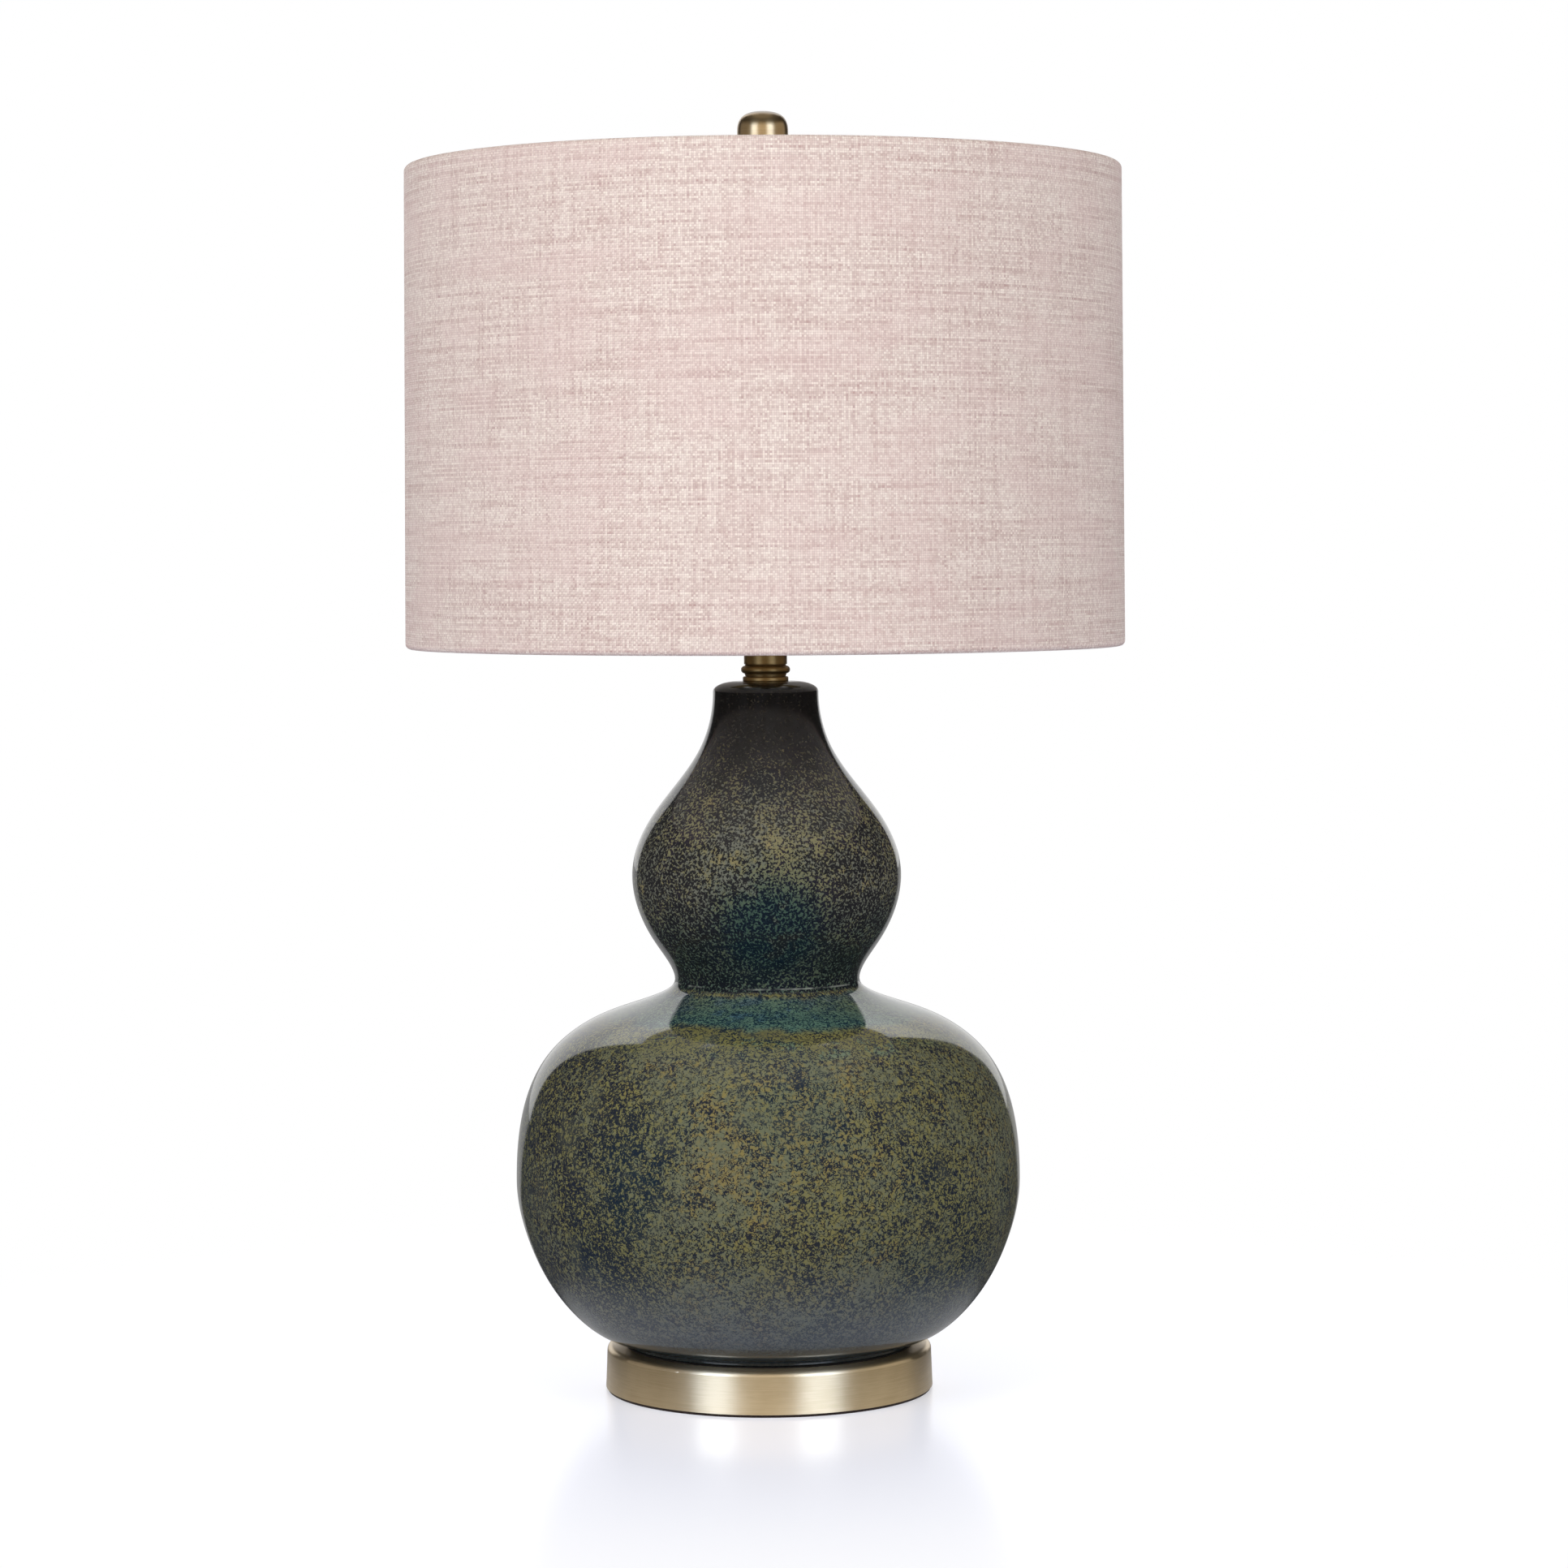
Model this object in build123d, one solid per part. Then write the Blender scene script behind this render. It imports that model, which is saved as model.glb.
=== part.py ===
from build123d import *
import math
import os

# A double gourd table lamp with a drum shade, in millimetres.
# +Z is up and the front faces -Y. The origin is the middle of the pad's underside.
# Every turned piece shares the lamp's axis, and the stack is clamped by one threaded pipe.

# Clearances
pipe_clearance = 0.3         # threaded pipe to the holes that it passes through
slide_clearance = 0.2        # harp feet in the prongs, ferrules on the legs
turn_clearance = 0.08        # shafts that turn in their holes
seat_gap = 0.3               # loose seats on curved or sprung faces
weld_clearance = 0.05        # shade rings against the liner

# Base
cover_radius = 87.8          # at the bottom edge
cover_taper = 0.9            # radius lost from the bottom edge to the top
cover_height = 22.5
cover_wall = 1.2
cover_edge_round = 3.0
cover_lip_width = 6.0        # bottom edge turned in under the pad's rim
pad_inset = 1.0
pad_thickness = 1.5
washer_radius = 40.0
washer_thickness = 2.0
lock_washer_radius = 8.4
lock_washer_thickness = 1.6
lock_washer_split = 1.4
nut_across_flats = 15.9
nut_height = 4.8
gasket_thickness = 0.8
gasket_width = 9.0

# Cord inlet in the back of the base
bushing_bore_radius = 3.2
bushing_neck_radius = 4.8
bushing_flange_radius = 6.8
bushing_flange_thickness = 1.8
bushing_catch_radius = 5.8
bushing_catch_thickness = 1.5
bushing_hole_clearance = 0.2

# Ceramic body: rings of the wall line, as radius and height over the foot's underside
ceramic_height = 354.7
neck_radius = 28.2
crown_radius = 71.9
crown_height = 251.2
waist_radius = 47.7
waist_height = 193.0
belly_radius = 134.9
belly_height = 88.7
foot_radius = 77.0
foot_height = 2.8            # straight side of the foot ring
foot_ring_width = 9.5
foot_recess = 3.6
ceramic_wall = 6.0
ceramic_lid = 7.0
rim_round_width = 13.0       # rounded rim, across and down
rim_round_height = 5.5
waist_round = 5.0
foot_edge_round = 0.8
floor_hole_radius = 16.0
wall_stations = 6            # points of each inside line

# Shape of the wall line between two rings, as shares of the change in radius and height
neck_line = [(0.138, 0.286), (0.799, 0.710)]
crown_line = [(0.455, 0.589)]
shoulder_line = [(0.502, 0.173), (0.812, 0.374)]
belly_line = [(0.113, 0.382), (0.463, 0.791)]
waist_lean_above = 11.5      # degrees from upright, where the crown runs into the waist
waist_lean_below = 34.4      # degrees below level, where the shoulder leaves the waist

# Threaded pipe and brass neck
pipe_radius = 4.85
pipe_bore_radius = 3.4
pipe_below_nut = 4.0
pipe_above_cap_neck = 1.0
neck_washer_radius = 12.2
neck_washer_thickness = 2.5
neck_washer_round = 0.8
bead_radius = 13.1
bead_step_radius = 10.8
bead_step_below = 1.6
bead_height = 4.1
bead_step_above = 0.8
neck_tube_radius = 11.5
neck_tube_height = 12.0
neck_tube_wall = 1.2
neck_tube_top = 1.5

# Harp saddle and harp
saddle_thickness = 2.0
saddle_width = 12.0
saddle_boss_radius = 11.0
harp_foot_spacing = 54.0
prong_radius = 3.2
prong_height = 14.0
harp_wire_radius = 1.6
harp_height = 233.6          # saddle top to the middle of the wire's top run
harp_width = 112.0           # between the middles of the legs at their widest
harp_upright = 45.0          # first bend over the saddle
harp_widening_end = 88.0     # where the legs stop spreading
harp_narrowing_start = 165.0
harp_top_reach = 24.0        # top bend from the axis
harp_end_gap = 5.0           # wire ends from the axis
harp_bends = [32.0, 80.0, 140.0, 22.0]
ferrule_wall = 0.8
ferrule_collar = 1.5
top_plate_length = 24.0
top_plate_thickness = 1.5
top_plate_flange = 3.0
top_plate_boss = 5.5

# Swivel stud
stud_shank_radius = 2.4
stud_rivet_radius = 3.4
stud_rivet_height = 1.2
stud_flange_radius = 7.5
stud_flange_thickness = 2.0
stud_thread_radius = 3.1
stud_thread_length = 13.0    # over the hub

# Socket, heights over the saddle's top
cap_neck_radius = 8.0
cap_neck_height = 5.0
cap_neck_inside = 8.0
cap_shoulder_height = 13.0
cap_height = 22.0
cap_wall = 0.8
socket_shell_radius = 16.1
socket_shell_wall = 0.5
socket_shell_start = 15.0
socket_shell_end = 60.0
socket_lip_radius = 17.0
socket_lip_height = 2.0
sleeve_wall = 0.6
sleeve_start = 16.0
sleeve_end = 58.0
interior_radius = 14.6
interior_start = 17.0
interior_end = 36.0
interior_flat = 11.6         # flats for the terminals, from the axis
interior_flat_height = 12.0
screw_shell_radius = 13.8
screw_shell_wall = 0.5
screw_shell_end = 58.0
screw_shell_floor_hole = 6.5
contact_width = 5.0
contact_thickness = 0.6
contact_length = 8.0
contact_rise = 3.2
terminal_head_radius = 3.0
terminal_head_height = 1.6
terminal_shank_radius = 1.5
terminal_shank_length = 3.5
terminal_slot = 0.7
set_screw_radius = 1.4
set_screw_head_radius = 2.3
set_screw_head_height = 1.6

# Turn switch
stem_radius = 1.8
stem_height = 30.0           # over the saddle's top
stem_inner_end = 4.0         # from the axis
stem_outer_end = 29.0
rotor_radius = 4.8
rotor_start = 8.0
rotor_end = 13.0
rotor_clearance = 0.3
stem_hole_clearance = 0.7    # holes in the shell and sleeve
knob_start = 18.4
knob_length = 14.0
knob_radius = 6.5
knob_flutes = 14
knob_flute_radius = 0.8
knob_edge_round = 1.2

# Bulb, heights over the bulb's contact
bulb_radius = 30.0
bulb_length = 108.0
bulb_neck_radius = 12.2
bulb_neck_height = 24.0
bulb_glass_wall = 0.8
bulb_cap_radius = 12.9
bulb_cap_wall = 0.4
bulb_cap_start = 5.0
bulb_cap_end = 27.0
bulb_insulator_radius = 9.5
bulb_insulator_start = 1.2
bulb_contact_radius = 4.0

# Shade
shade_height = 254.0
shade_radius = 191.3         # at the bottom
shade_taper = 1.6            # radius lost from the bottom to the top
fabric_thickness = 0.6
liner_thickness = 0.5
ring_wire_radius = 1.6
hub_recess = 8.4             # hub's top below the shade's top
hub_radius = 15.0
hub_hole_radius = 5.5
hub_thickness = 2.0
arm_radius = 1.5
arm_count = 3
arm_bend_inset = 24.0        # arm's bend from the ring
arm_bend_radius = 12.0
arm_notch_clearance = 0.4

# Finial
finial_height = 38.0
finial_collar_radius = 7.5
finial_collar_height = 2.6
finial_stem_radius = 5.2
finial_stem_start = 5.0
finial_stem_end = 12.0
finial_knob_radius = 13.6
finial_knob_start = 19.0
finial_crown_height = 10.6   # domed part of the knob
finial_crown_fullness = 0.62
finial_under_round = 3.0
finial_bore_depth = 15.0

# Heights of the stack, each from the piece below
cover_z = pad_thickness
gasket_z = cover_z + cover_height
foot_z = gasket_z + gasket_thickness
rim_z = foot_z + ceramic_height
bead_z = rim_z + neck_washer_thickness
tube_z = bead_z + bead_step_below + bead_height + bead_step_above
saddle_z = tube_z + neck_tube_height
socket_z = saddle_z + saddle_thickness
harp_run_z = socket_z + harp_height
plate_z = harp_run_z + harp_wire_radius
stud_z = plate_z + top_plate_thickness + seat_gap
hub_z = stud_z + stud_flange_thickness
finial_z = hub_z + hub_thickness
shade_top_z = finial_z + hub_recess
shade_bottom_z = shade_top_z - shade_height
washer_z = gasket_z - cover_wall - washer_thickness
lock_washer_z = washer_z - lock_washer_thickness
nut_z = lock_washer_z - nut_height
bulb_z = socket_z + interior_end + contact_rise + seat_gap
stem_z = socket_z + stem_height

# Sizes that follow from mating pieces
pipe_hole_radius = pipe_radius + pipe_clearance
foot_spread = harp_foot_spacing / 2
roll_radius = ring_wire_radius + liner_thickness + fabric_thickness
top_ring_radius = shade_radius - shade_taper - roll_radius
bottom_ring_radius = shade_radius - roll_radius
top_ring_z = shade_top_z - roll_radius
bottom_ring_z = shade_bottom_z + roll_radius
arm_z = hub_z + hub_thickness / 2
bushing_z = cover_z + cover_height / 2
bushing_wall_radius = cover_radius - cover_taper / 2
bushing_hole_radius = bushing_neck_radius + bushing_hole_clearance
cap_radius = socket_shell_radius + cap_wall
sleeve_radius = socket_shell_radius - socket_shell_wall
down = Vector(0, 0, -1)
ellipse_fullness = 0.5523    # handle length that makes a quarter round an ellipse
near = 0.01


def turned(*corners):
    """A piece turned on the lamp's axis from its (radius, height) corners."""
    outline = Polyline(*[(radius, 0, height) for radius, height in corners], close=True)
    return revolve(make_face(outline), Axis.Z)


def ring(outer, inner, bottom, top):
    """A plain ring or tube between two heights."""
    return turned((inner, bottom), (outer, bottom), (outer, top), (inner, top))


def disc(radius, bottom, top):
    """A plain disc between two heights."""
    return turned((0, bottom), (radius, bottom), (radius, top), (0, top))


def edges_at(piece, radius, height):
    """The round edges of a turned piece at a radius and height."""
    rounds = piece.edges().filter_by(GeomType.CIRCLE)
    same = [edge for edge in rounds if abs(edge.radius - radius) < near]
    return [edge for edge in same if abs(edge.arc_center.Z - height) < near]


def quarter_round(start, end, fullness):
    """A round from level at its start to upright at its end, seen on the outside."""
    level = Vector(start.X + (end.X - start.X) * fullness, 0, start.Z)
    upright = Vector(end.X, 0, end.Z + (start.Z - end.Z) * fullness)
    return Bezier(start, level, upright, end)


def facing_front(piece, height):
    """A piece made on the Z axis, laid along -Y at a height."""
    return Pos(0, 0, height) * Rot(90, 0, 0) * piece


def facing_back(piece, height):
    """A piece made on the Z axis, laid along +Y at a height."""
    return Pos(0, 0, height) * Rot(-90, 0, 0) * piece


# Base

def base_pad():
    """Felt disc glued under the turned-in lip of the cover."""
    return disc(cover_radius - pad_inset, 0, pad_thickness)


def cover_form(inset, bottom):
    """The drum's tapered form, moved in by a wall's thickness."""
    top_radius = cover_radius - cover_taper - inset
    top = gasket_z - inset
    form = turned((0, bottom), (cover_radius - inset, bottom), (top_radius, top), (0, top))
    return fillet(edges_at(form, top_radius, top), cover_edge_round - inset)


def base_cover():
    """Spun brass drum: open below inside its lip, drilled for the pipe and the cord bushing."""
    cover = cover_form(0, cover_z) - cover_form(cover_wall, cover_z + cover_wall)
    cover -= disc(cover_radius - cover_lip_width, cover_z, cover_z + cover_wall)
    cover -= disc(pipe_hole_radius, cover_z, gasket_z)
    return cover - facing_back(disc(bushing_hole_radius, cover_radius / 2, cover_radius), bushing_z)


def cord_bushing():
    """Snap-in bushing: flange outside the wall, neck through it, catch inside."""
    outside = bushing_wall_radius + seat_gap
    inside = bushing_wall_radius - cover_wall - 2 * seat_gap
    flange = outside + bushing_flange_thickness
    catch = inside - bushing_catch_thickness
    body = turned(
        (bushing_bore_radius, catch), (bushing_neck_radius, catch), (bushing_catch_radius, inside),
        (bushing_neck_radius, inside), (bushing_neck_radius, outside),
        (bushing_flange_radius, outside), (bushing_flange_radius, flange),
        (bushing_bore_radius, flange))
    return facing_back(body, bushing_z)


def base_washer():
    """Large steel washer that spreads the nut's pull under the cover's top."""
    return ring(washer_radius, pipe_hole_radius, washer_z, washer_z + washer_thickness)


def lock_washer():
    """Split ring under the nut."""
    body = ring(lock_washer_radius, pipe_hole_radius, lock_washer_z, washer_z)
    split = Box(lock_washer_radius, lock_washer_split, lock_washer_thickness)
    middle = lock_washer_z + lock_washer_thickness / 2
    return body - Pos(lock_washer_radius / 2 + pipe_radius / 2, 0, middle) * split


def base_nut():
    """Hexagon nut on the pipe's lower end."""
    hexagon = RegularPolygon(nut_across_flats / 2, 6, major_radius=False)
    body = extrude(hexagon, nut_height) - Cylinder(pipe_radius + turn_clearance, 3 * nut_height)
    return Pos(0, 0, nut_z) * body


def foot_gasket():
    """Thin ring between the brass drum and the ceramic foot."""
    return ring(foot_radius, foot_radius - gasket_width, gasket_z, foot_z)


# Ceramic body

def wall_line(start, end, shares, start_direction, end_direction):
    """Smooth wall line from ring to ring through its shape points."""
    points = [start]
    for radius_share, height_share in shares:
        radius = start.X + (end.X - start.X) * radius_share
        height = start.Z + (end.Z - start.Z) * height_share
        points.append(Vector(radius, 0, height))
    directions = (start_direction, end_direction)
    return Spline(*points, end, tangents=directions, tangent_scalars=(1, 1))


def gourd_lines():
    """The outside wall line in four parts, from under the rim down to the foot ring."""
    neck = Vector(neck_radius, 0, rim_z - rim_round_height)
    crown = Vector(crown_radius, 0, foot_z + crown_height)
    waist = Vector(waist_radius, 0, foot_z + waist_height)
    belly = Vector(belly_radius, 0, foot_z + belly_height)
    foot = Vector(foot_radius, 0, foot_z + foot_height)
    above = math.radians(waist_lean_above)
    below = math.radians(waist_lean_below)
    into_waist = Vector(-math.sin(above), 0, -math.cos(above))
    out_of_waist = Vector(math.cos(below), 0, -math.sin(below))
    return [
        wall_line(neck, crown, neck_line, down, down),
        wall_line(crown, waist, crown_line, down, into_waist),
        wall_line(waist, belly, shoulder_line, out_of_waist, down),
        wall_line(belly, foot, belly_line, down, Vector(-1, 0, 0)),
    ]


def inward(direction):
    """The way into the clay from a line that runs down the outside."""
    return Vector(direction.Z, 0, -direction.X)


def inside_line(line):
    """A wall line moved into the clay by the wall's thickness."""
    marks = [station / wall_stations for station in range(wall_stations + 1)]
    points = [line @ mark + inward(line % mark) * ceramic_wall for mark in marks]
    return Spline(*points, tangents=(line % 0, line % 1), tangent_scalars=(1, 1))


def closed_turn(lines):
    """Turn a chain of lines, closed over the axis at both ends."""
    start, end = lines[0] @ 0, lines[-1] @ 1
    top, bottom = Vector(0, 0, start.Z), Vector(0, 0, end.Z)
    chain = [Line(top, start), *lines, Line(end, bottom), Line(bottom, top)]
    return revolve(make_face(chain), Axis.Z)


def gourd_outside():
    """The glazed outside, down to the underside of the foot ring."""
    lines = gourd_lines()
    rim = Vector(neck_radius - rim_round_width, 0, rim_z)
    foot_side = Line((foot_radius, 0, foot_z + foot_height), (foot_radius, 0, foot_z))
    body = closed_turn([quarter_round(rim, lines[0] @ 0, ellipse_fullness), *lines, foot_side])
    body = fillet(edges_at(body, waist_radius, foot_z + waist_height), waist_round)
    return fillet(edges_at(body, foot_radius, foot_z), foot_edge_round)


def gourd_cavity():
    """The hollow inside: every line a wall's thickness in, with an arc round the waist."""
    neck, crown, shoulder, belly = gourd_lines()
    waist = crown @ 1
    across = (inward(crown % 1) + inward(shoulder % 0)).normalized()
    upper, lower = inside_line(crown), inside_line(shoulder)
    bend = ThreePointArc(upper @ 1, waist + across * ceramic_wall, lower @ 0)
    cavity = closed_turn([inside_line(neck), upper, bend, lower, inside_line(belly)])
    return cavity - disc(neck_radius, rim_z - ceramic_lid, rim_z)


def ceramic_body():
    """Double gourd shell with a lid drilled for the pipe, a floor hole and a foot ring."""
    body = gourd_outside() - gourd_cavity()
    body -= disc(pipe_hole_radius, foot_z, rim_z)
    body -= disc(floor_hole_radius, foot_z, foot_z + belly_height)
    return body - disc(foot_radius - foot_ring_width, foot_z, foot_z + foot_recess)


# Pipe and neck

def threaded_rod():
    """Threaded pipe from under the base nut into the socket cap."""
    top = socket_z + cap_neck_inside + pipe_above_cap_neck
    return ring(pipe_radius, pipe_bore_radius, nut_z - pipe_below_nut, top)


def neck_washer():
    """Brass seat washer on the ceramic rim."""
    body = ring(neck_washer_radius, pipe_hole_radius, rim_z, bead_z)
    return fillet(edges_at(body, neck_washer_radius, bead_z), neck_washer_round)


def neck_bead():
    """Turned brass bead: a half round between two steps."""
    start = bead_z + bead_step_below
    end = start + bead_height
    bulge = ThreePointArc(
        (bead_step_radius, 0, start), (bead_radius, 0, (start + end) / 2),
        (bead_step_radius, 0, end))
    rest = Polyline(
        (bead_step_radius, 0, end), (bead_step_radius, 0, tube_z), (pipe_hole_radius, 0, tube_z),
        (pipe_hole_radius, 0, bead_z), (bead_step_radius, 0, bead_z),
        (bead_step_radius, 0, start))
    return revolve(make_face([bulge, rest]), Axis.Z)


def neck_tube():
    """Drawn brass neck, closed at the top except for the pipe's hole."""
    inside = neck_tube_radius - neck_tube_wall
    closed_from = saddle_z - neck_tube_top
    return turned(
        (inside, tube_z), (neck_tube_radius, tube_z), (neck_tube_radius, saddle_z),
        (pipe_hole_radius, saddle_z), (pipe_hole_radius, closed_from), (inside, closed_from))


# Harp

def prong():
    """Upright channel that takes one foot of the harp, open towards the axis."""
    groove = harp_wire_radius + slide_clearance
    slot = Pos(-prong_radius / 2, 0) * Rectangle(prong_radius, 2 * groove)
    return extrude(Circle(prong_radius) - Circle(groove) - slot, prong_height)


def harp_saddle():
    """Flat strap clamped under the socket, with a prong at each end."""
    strap = SlotCenterToCenter(harp_foot_spacing, saddle_width) + Circle(saddle_boss_radius)
    body = Pos(0, 0, saddle_z) * extrude(strap - Circle(pipe_hole_radius), saddle_thickness)
    for turn in (0, 180):
        body += Rot(0, 0, turn) * Pos(foot_spread, 0, socket_z) * prong()
    return body


def harp_leg():
    """One bent wire: up from the prong, out round the bulb and in under the top plate."""
    path = FilletPolyline(
        (foot_spread, 0, socket_z + seat_gap),
        (foot_spread, 0, socket_z + harp_upright),
        (harp_width / 2, 0, socket_z + harp_widening_end),
        (harp_width / 2, 0, socket_z + harp_narrowing_start),
        (harp_top_reach, 0, harp_run_z),
        (harp_end_gap, 0, harp_run_z),
        radius=harp_bends)
    section = Plane(origin=path @ 0, z_dir=path % 0) * Circle(harp_wire_radius)
    return sweep(section, path)


def harp_legs():
    """The two bent wires of the harp."""
    return Compound([harp_leg().solid(), (Rot(0, 0, 180) * harp_leg()).solid()])


def harp_top_plate():
    """Plate over the wire ends, folded down beside them and drilled for the swivel stud."""
    inside = harp_wire_radius + weld_clearance
    outside = inside + top_plate_thickness
    section = Polyline(
        (0, -outside, plate_z - top_plate_flange), (0, -outside, plate_z + top_plate_thickness),
        (0, outside, plate_z + top_plate_thickness), (0, outside, plate_z - top_plate_flange),
        (0, inside, plate_z - top_plate_flange), (0, inside, plate_z), (0, -inside, plate_z),
        (0, -inside, plate_z - top_plate_flange), close=True)
    body = extrude(make_face(section), top_plate_length / 2, both=True)
    body -= Pos(0, 0, plate_z - top_plate_flange) * Box(
        2 * harp_end_gap, 4 * outside, 2 * top_plate_flange)
    body += disc(top_plate_boss, plate_z, plate_z + top_plate_thickness)
    return body - disc(stud_shank_radius + turn_clearance, plate_z, stud_z)


def ferrule(side):
    """Sleeve round one prong; its collar slides on the harp's leg and rests on the prong."""
    inside = prong_radius + slide_clearance
    outside = inside + ferrule_wall
    hole = harp_wire_radius + slide_clearance
    step = socket_z + prong_height
    body = turned(
        (inside, socket_z + seat_gap), (outside, socket_z + seat_gap),
        (outside, step + ferrule_collar), (hole, step + ferrule_collar), (hole, step),
        (inside, step))
    return Pos(side * foot_spread, 0, 0) * body


def finial_stud():
    """Swivel stud: rivet head under the plate, flange under the hub, thread for the finial."""
    rivet_top = plate_z - seat_gap
    rivet_bottom = rivet_top - stud_rivet_height
    thread_end = finial_z + stud_thread_length
    return turned(
        (0, rivet_bottom), (stud_rivet_radius, rivet_bottom), (stud_rivet_radius, rivet_top),
        (stud_shank_radius, rivet_top), (stud_shank_radius, stud_z), (stud_flange_radius, stud_z),
        (stud_flange_radius, hub_z), (stud_thread_radius, hub_z),
        (stud_thread_radius, thread_end), (0, thread_end))


# Socket

def socket_cap():
    """Spun cap screwed on the pipe, with a lip round the shell."""
    shoulder = socket_z + cap_shoulder_height
    inside = socket_z + cap_neck_inside
    top = socket_z + cap_height
    hole = pipe_radius + turn_clearance
    lip = socket_shell_radius + weld_clearance
    body = turned(
        (hole, socket_z), (cap_neck_radius, socket_z),
        (cap_neck_radius, socket_z + cap_neck_height), (cap_radius, shoulder), (cap_radius, top),
        (lip, top), (lip, shoulder + cap_wall), (cap_neck_radius, inside), (hole, inside))
    height = socket_z + cap_neck_height / 2
    return body - facing_back(disc(set_screw_radius, pipe_radius, cap_radius), height)


def cap_set_screw():
    """Small screw that locks the cap on the pipe."""
    start = pipe_radius + pipe_clearance
    body = turned(
        (0, start), (set_screw_radius - turn_clearance, start),
        (set_screw_radius - turn_clearance, cap_neck_radius),
        (set_screw_head_radius, cap_neck_radius),
        (set_screw_head_radius, cap_neck_radius + set_screw_head_height),
        (0, cap_neck_radius + set_screw_head_height))
    return facing_back(body, socket_z + cap_neck_height / 2)


def stem_hole(reach):
    """The cutter for the switch stem's way through the socket's walls."""
    return facing_front(disc(stem_radius + stem_hole_clearance, 0, reach), stem_z)


def socket_shell():
    """Drawn brass shell with a rolled lip at its mouth."""
    inside = socket_shell_radius - socket_shell_wall
    start = socket_z + socket_shell_start
    end = socket_z + socket_shell_end
    body = turned(
        (inside, start), (socket_shell_radius, start),
        (socket_shell_radius, end - socket_lip_height), (socket_lip_radius, end - socket_lip_height),
        (socket_lip_radius, end), (inside, end))
    body = fillet(edges_at(body, socket_lip_radius, end), socket_shell_wall)
    return body - stem_hole(2 * socket_shell_radius)


def socket_sleeve():
    """Fibre sleeve between the live screw shell and the brass."""
    outer = sleeve_radius - weld_clearance
    body = ring(outer, outer - sleeve_wall, socket_z + sleeve_start, socket_z + sleeve_end)
    return body - stem_hole(2 * sleeve_radius)


def socket_interior():
    """Moulded block: flats for the terminals, pocket and pivot hole for the switch."""
    start, end = socket_z + interior_start, socket_z + interior_end
    body = disc(interior_radius, start, end)
    cut = Box(interior_radius, 2 * interior_radius, interior_flat_height)
    middle = start + interior_flat_height / 2
    for side in (-1, 1):
        offset_x = side * (interior_flat + interior_radius / 2)
        body -= Pos(offset_x, 0, middle) * cut
        body -= Pos(side * interior_flat, 0, middle) * Rot(0, 90, 0) * Cylinder(
            terminal_shank_radius + turn_clearance, 2 * terminal_shank_length)
    pocket = disc(rotor_radius + rotor_clearance, rotor_start - rotor_clearance, interior_radius)
    pivot = disc(stem_radius + turn_clearance, stem_inner_end - rotor_clearance, rotor_start)
    return body - facing_front(pocket + pivot, stem_z)


def screw_shell():
    """Shell that the bulb screws into, with a floor on the moulded block."""
    floor = socket_z + interior_end
    inside = screw_shell_radius - screw_shell_wall
    end = socket_z + screw_shell_end
    return turned(
        (screw_shell_floor_hole, floor), (screw_shell_radius, floor), (screw_shell_radius, end),
        (inside, end), (inside, floor + screw_shell_wall),
        (screw_shell_floor_hole, floor + screw_shell_wall))


def centre_contact():
    """Bent spring strip under the bulb's contact."""
    half = contact_length / 2
    thick = contact_thickness
    strip = Polyline(
        (-half, 0), (half, 0), (half, 2 * thick), (0, contact_rise), (-half / 2, contact_rise),
        (-half / 2, contact_rise - thick), (-thick / 2, contact_rise - thick),
        (half - thick, thick), (-half, thick), close=True)
    body = extrude(Plane.XZ * make_face(strip), contact_width / 2, both=True)
    return Pos(0, 0, socket_z + interior_end) * body


def terminal_screw():
    """One slotted terminal screw, its head's seat at the origin and its shank along -Z."""
    body = Pos(0, 0, terminal_head_height / 2) * Cylinder(
        terminal_head_radius, terminal_head_height)
    slot = Box(2 * terminal_head_radius, terminal_slot, terminal_head_height)
    body -= Pos(0, 0, terminal_head_height) * slot
    shank = Cylinder(terminal_shank_radius, terminal_shank_length)
    return body + Pos(0, 0, -terminal_shank_length / 2) * shank


def terminal_screws():
    """A terminal screw on each flat of the moulded block."""
    height = socket_z + interior_start + interior_flat_height / 2
    screws = []
    for side in (-1, 1):
        place = Pos(side * interior_flat, 0, height) * Rot(0, side * 90, 0)
        screws.append((place * terminal_screw()).solid())
    return Compound(screws)


# Switch

def switch_stem():
    """Stem with the rotor of the turn switch."""
    body = disc(stem_radius, stem_inner_end, stem_outer_end)
    return facing_front(body + disc(rotor_radius, rotor_start, rotor_end), stem_z)


def switch_knob():
    """Fluted knob pressed on the stem."""
    end = knob_start + knob_length
    body = disc(knob_radius, knob_start, end)
    body = fillet(edges_at(body, knob_radius, end), knob_edge_round)
    flute = Cylinder(knob_flute_radius, 2 * knob_length)
    for place in PolarLocations(knob_radius + knob_flute_radius / 2, knob_flutes):
        body -= place * Pos(0, 0, knob_start) * flute
    body -= disc(stem_radius + weld_clearance, knob_start, stem_outer_end + seat_gap)
    return facing_front(body, stem_z)


# Bulb

def bulb_form(inset):
    """The bulb's round head and drawn-in neck, moved in by the glass's thickness."""
    radius = bulb_radius - inset
    middle = bulb_z + bulb_length - bulb_radius
    neck = bulb_z + bulb_neck_height
    slant = radius * math.sqrt(0.5)
    head = ThreePointArc(
        (0, 0, middle + radius), (slant, 0, middle + slant), (radius, 0, middle))
    side = Spline(
        (radius, 0, middle), (bulb_neck_radius - inset, 0, neck), tangents=(down, down))
    closing = Polyline((bulb_neck_radius - inset, 0, neck), (0, 0, neck), (0, 0, middle + radius))
    return revolve(make_face([head, side, closing]), Axis.Z)


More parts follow.
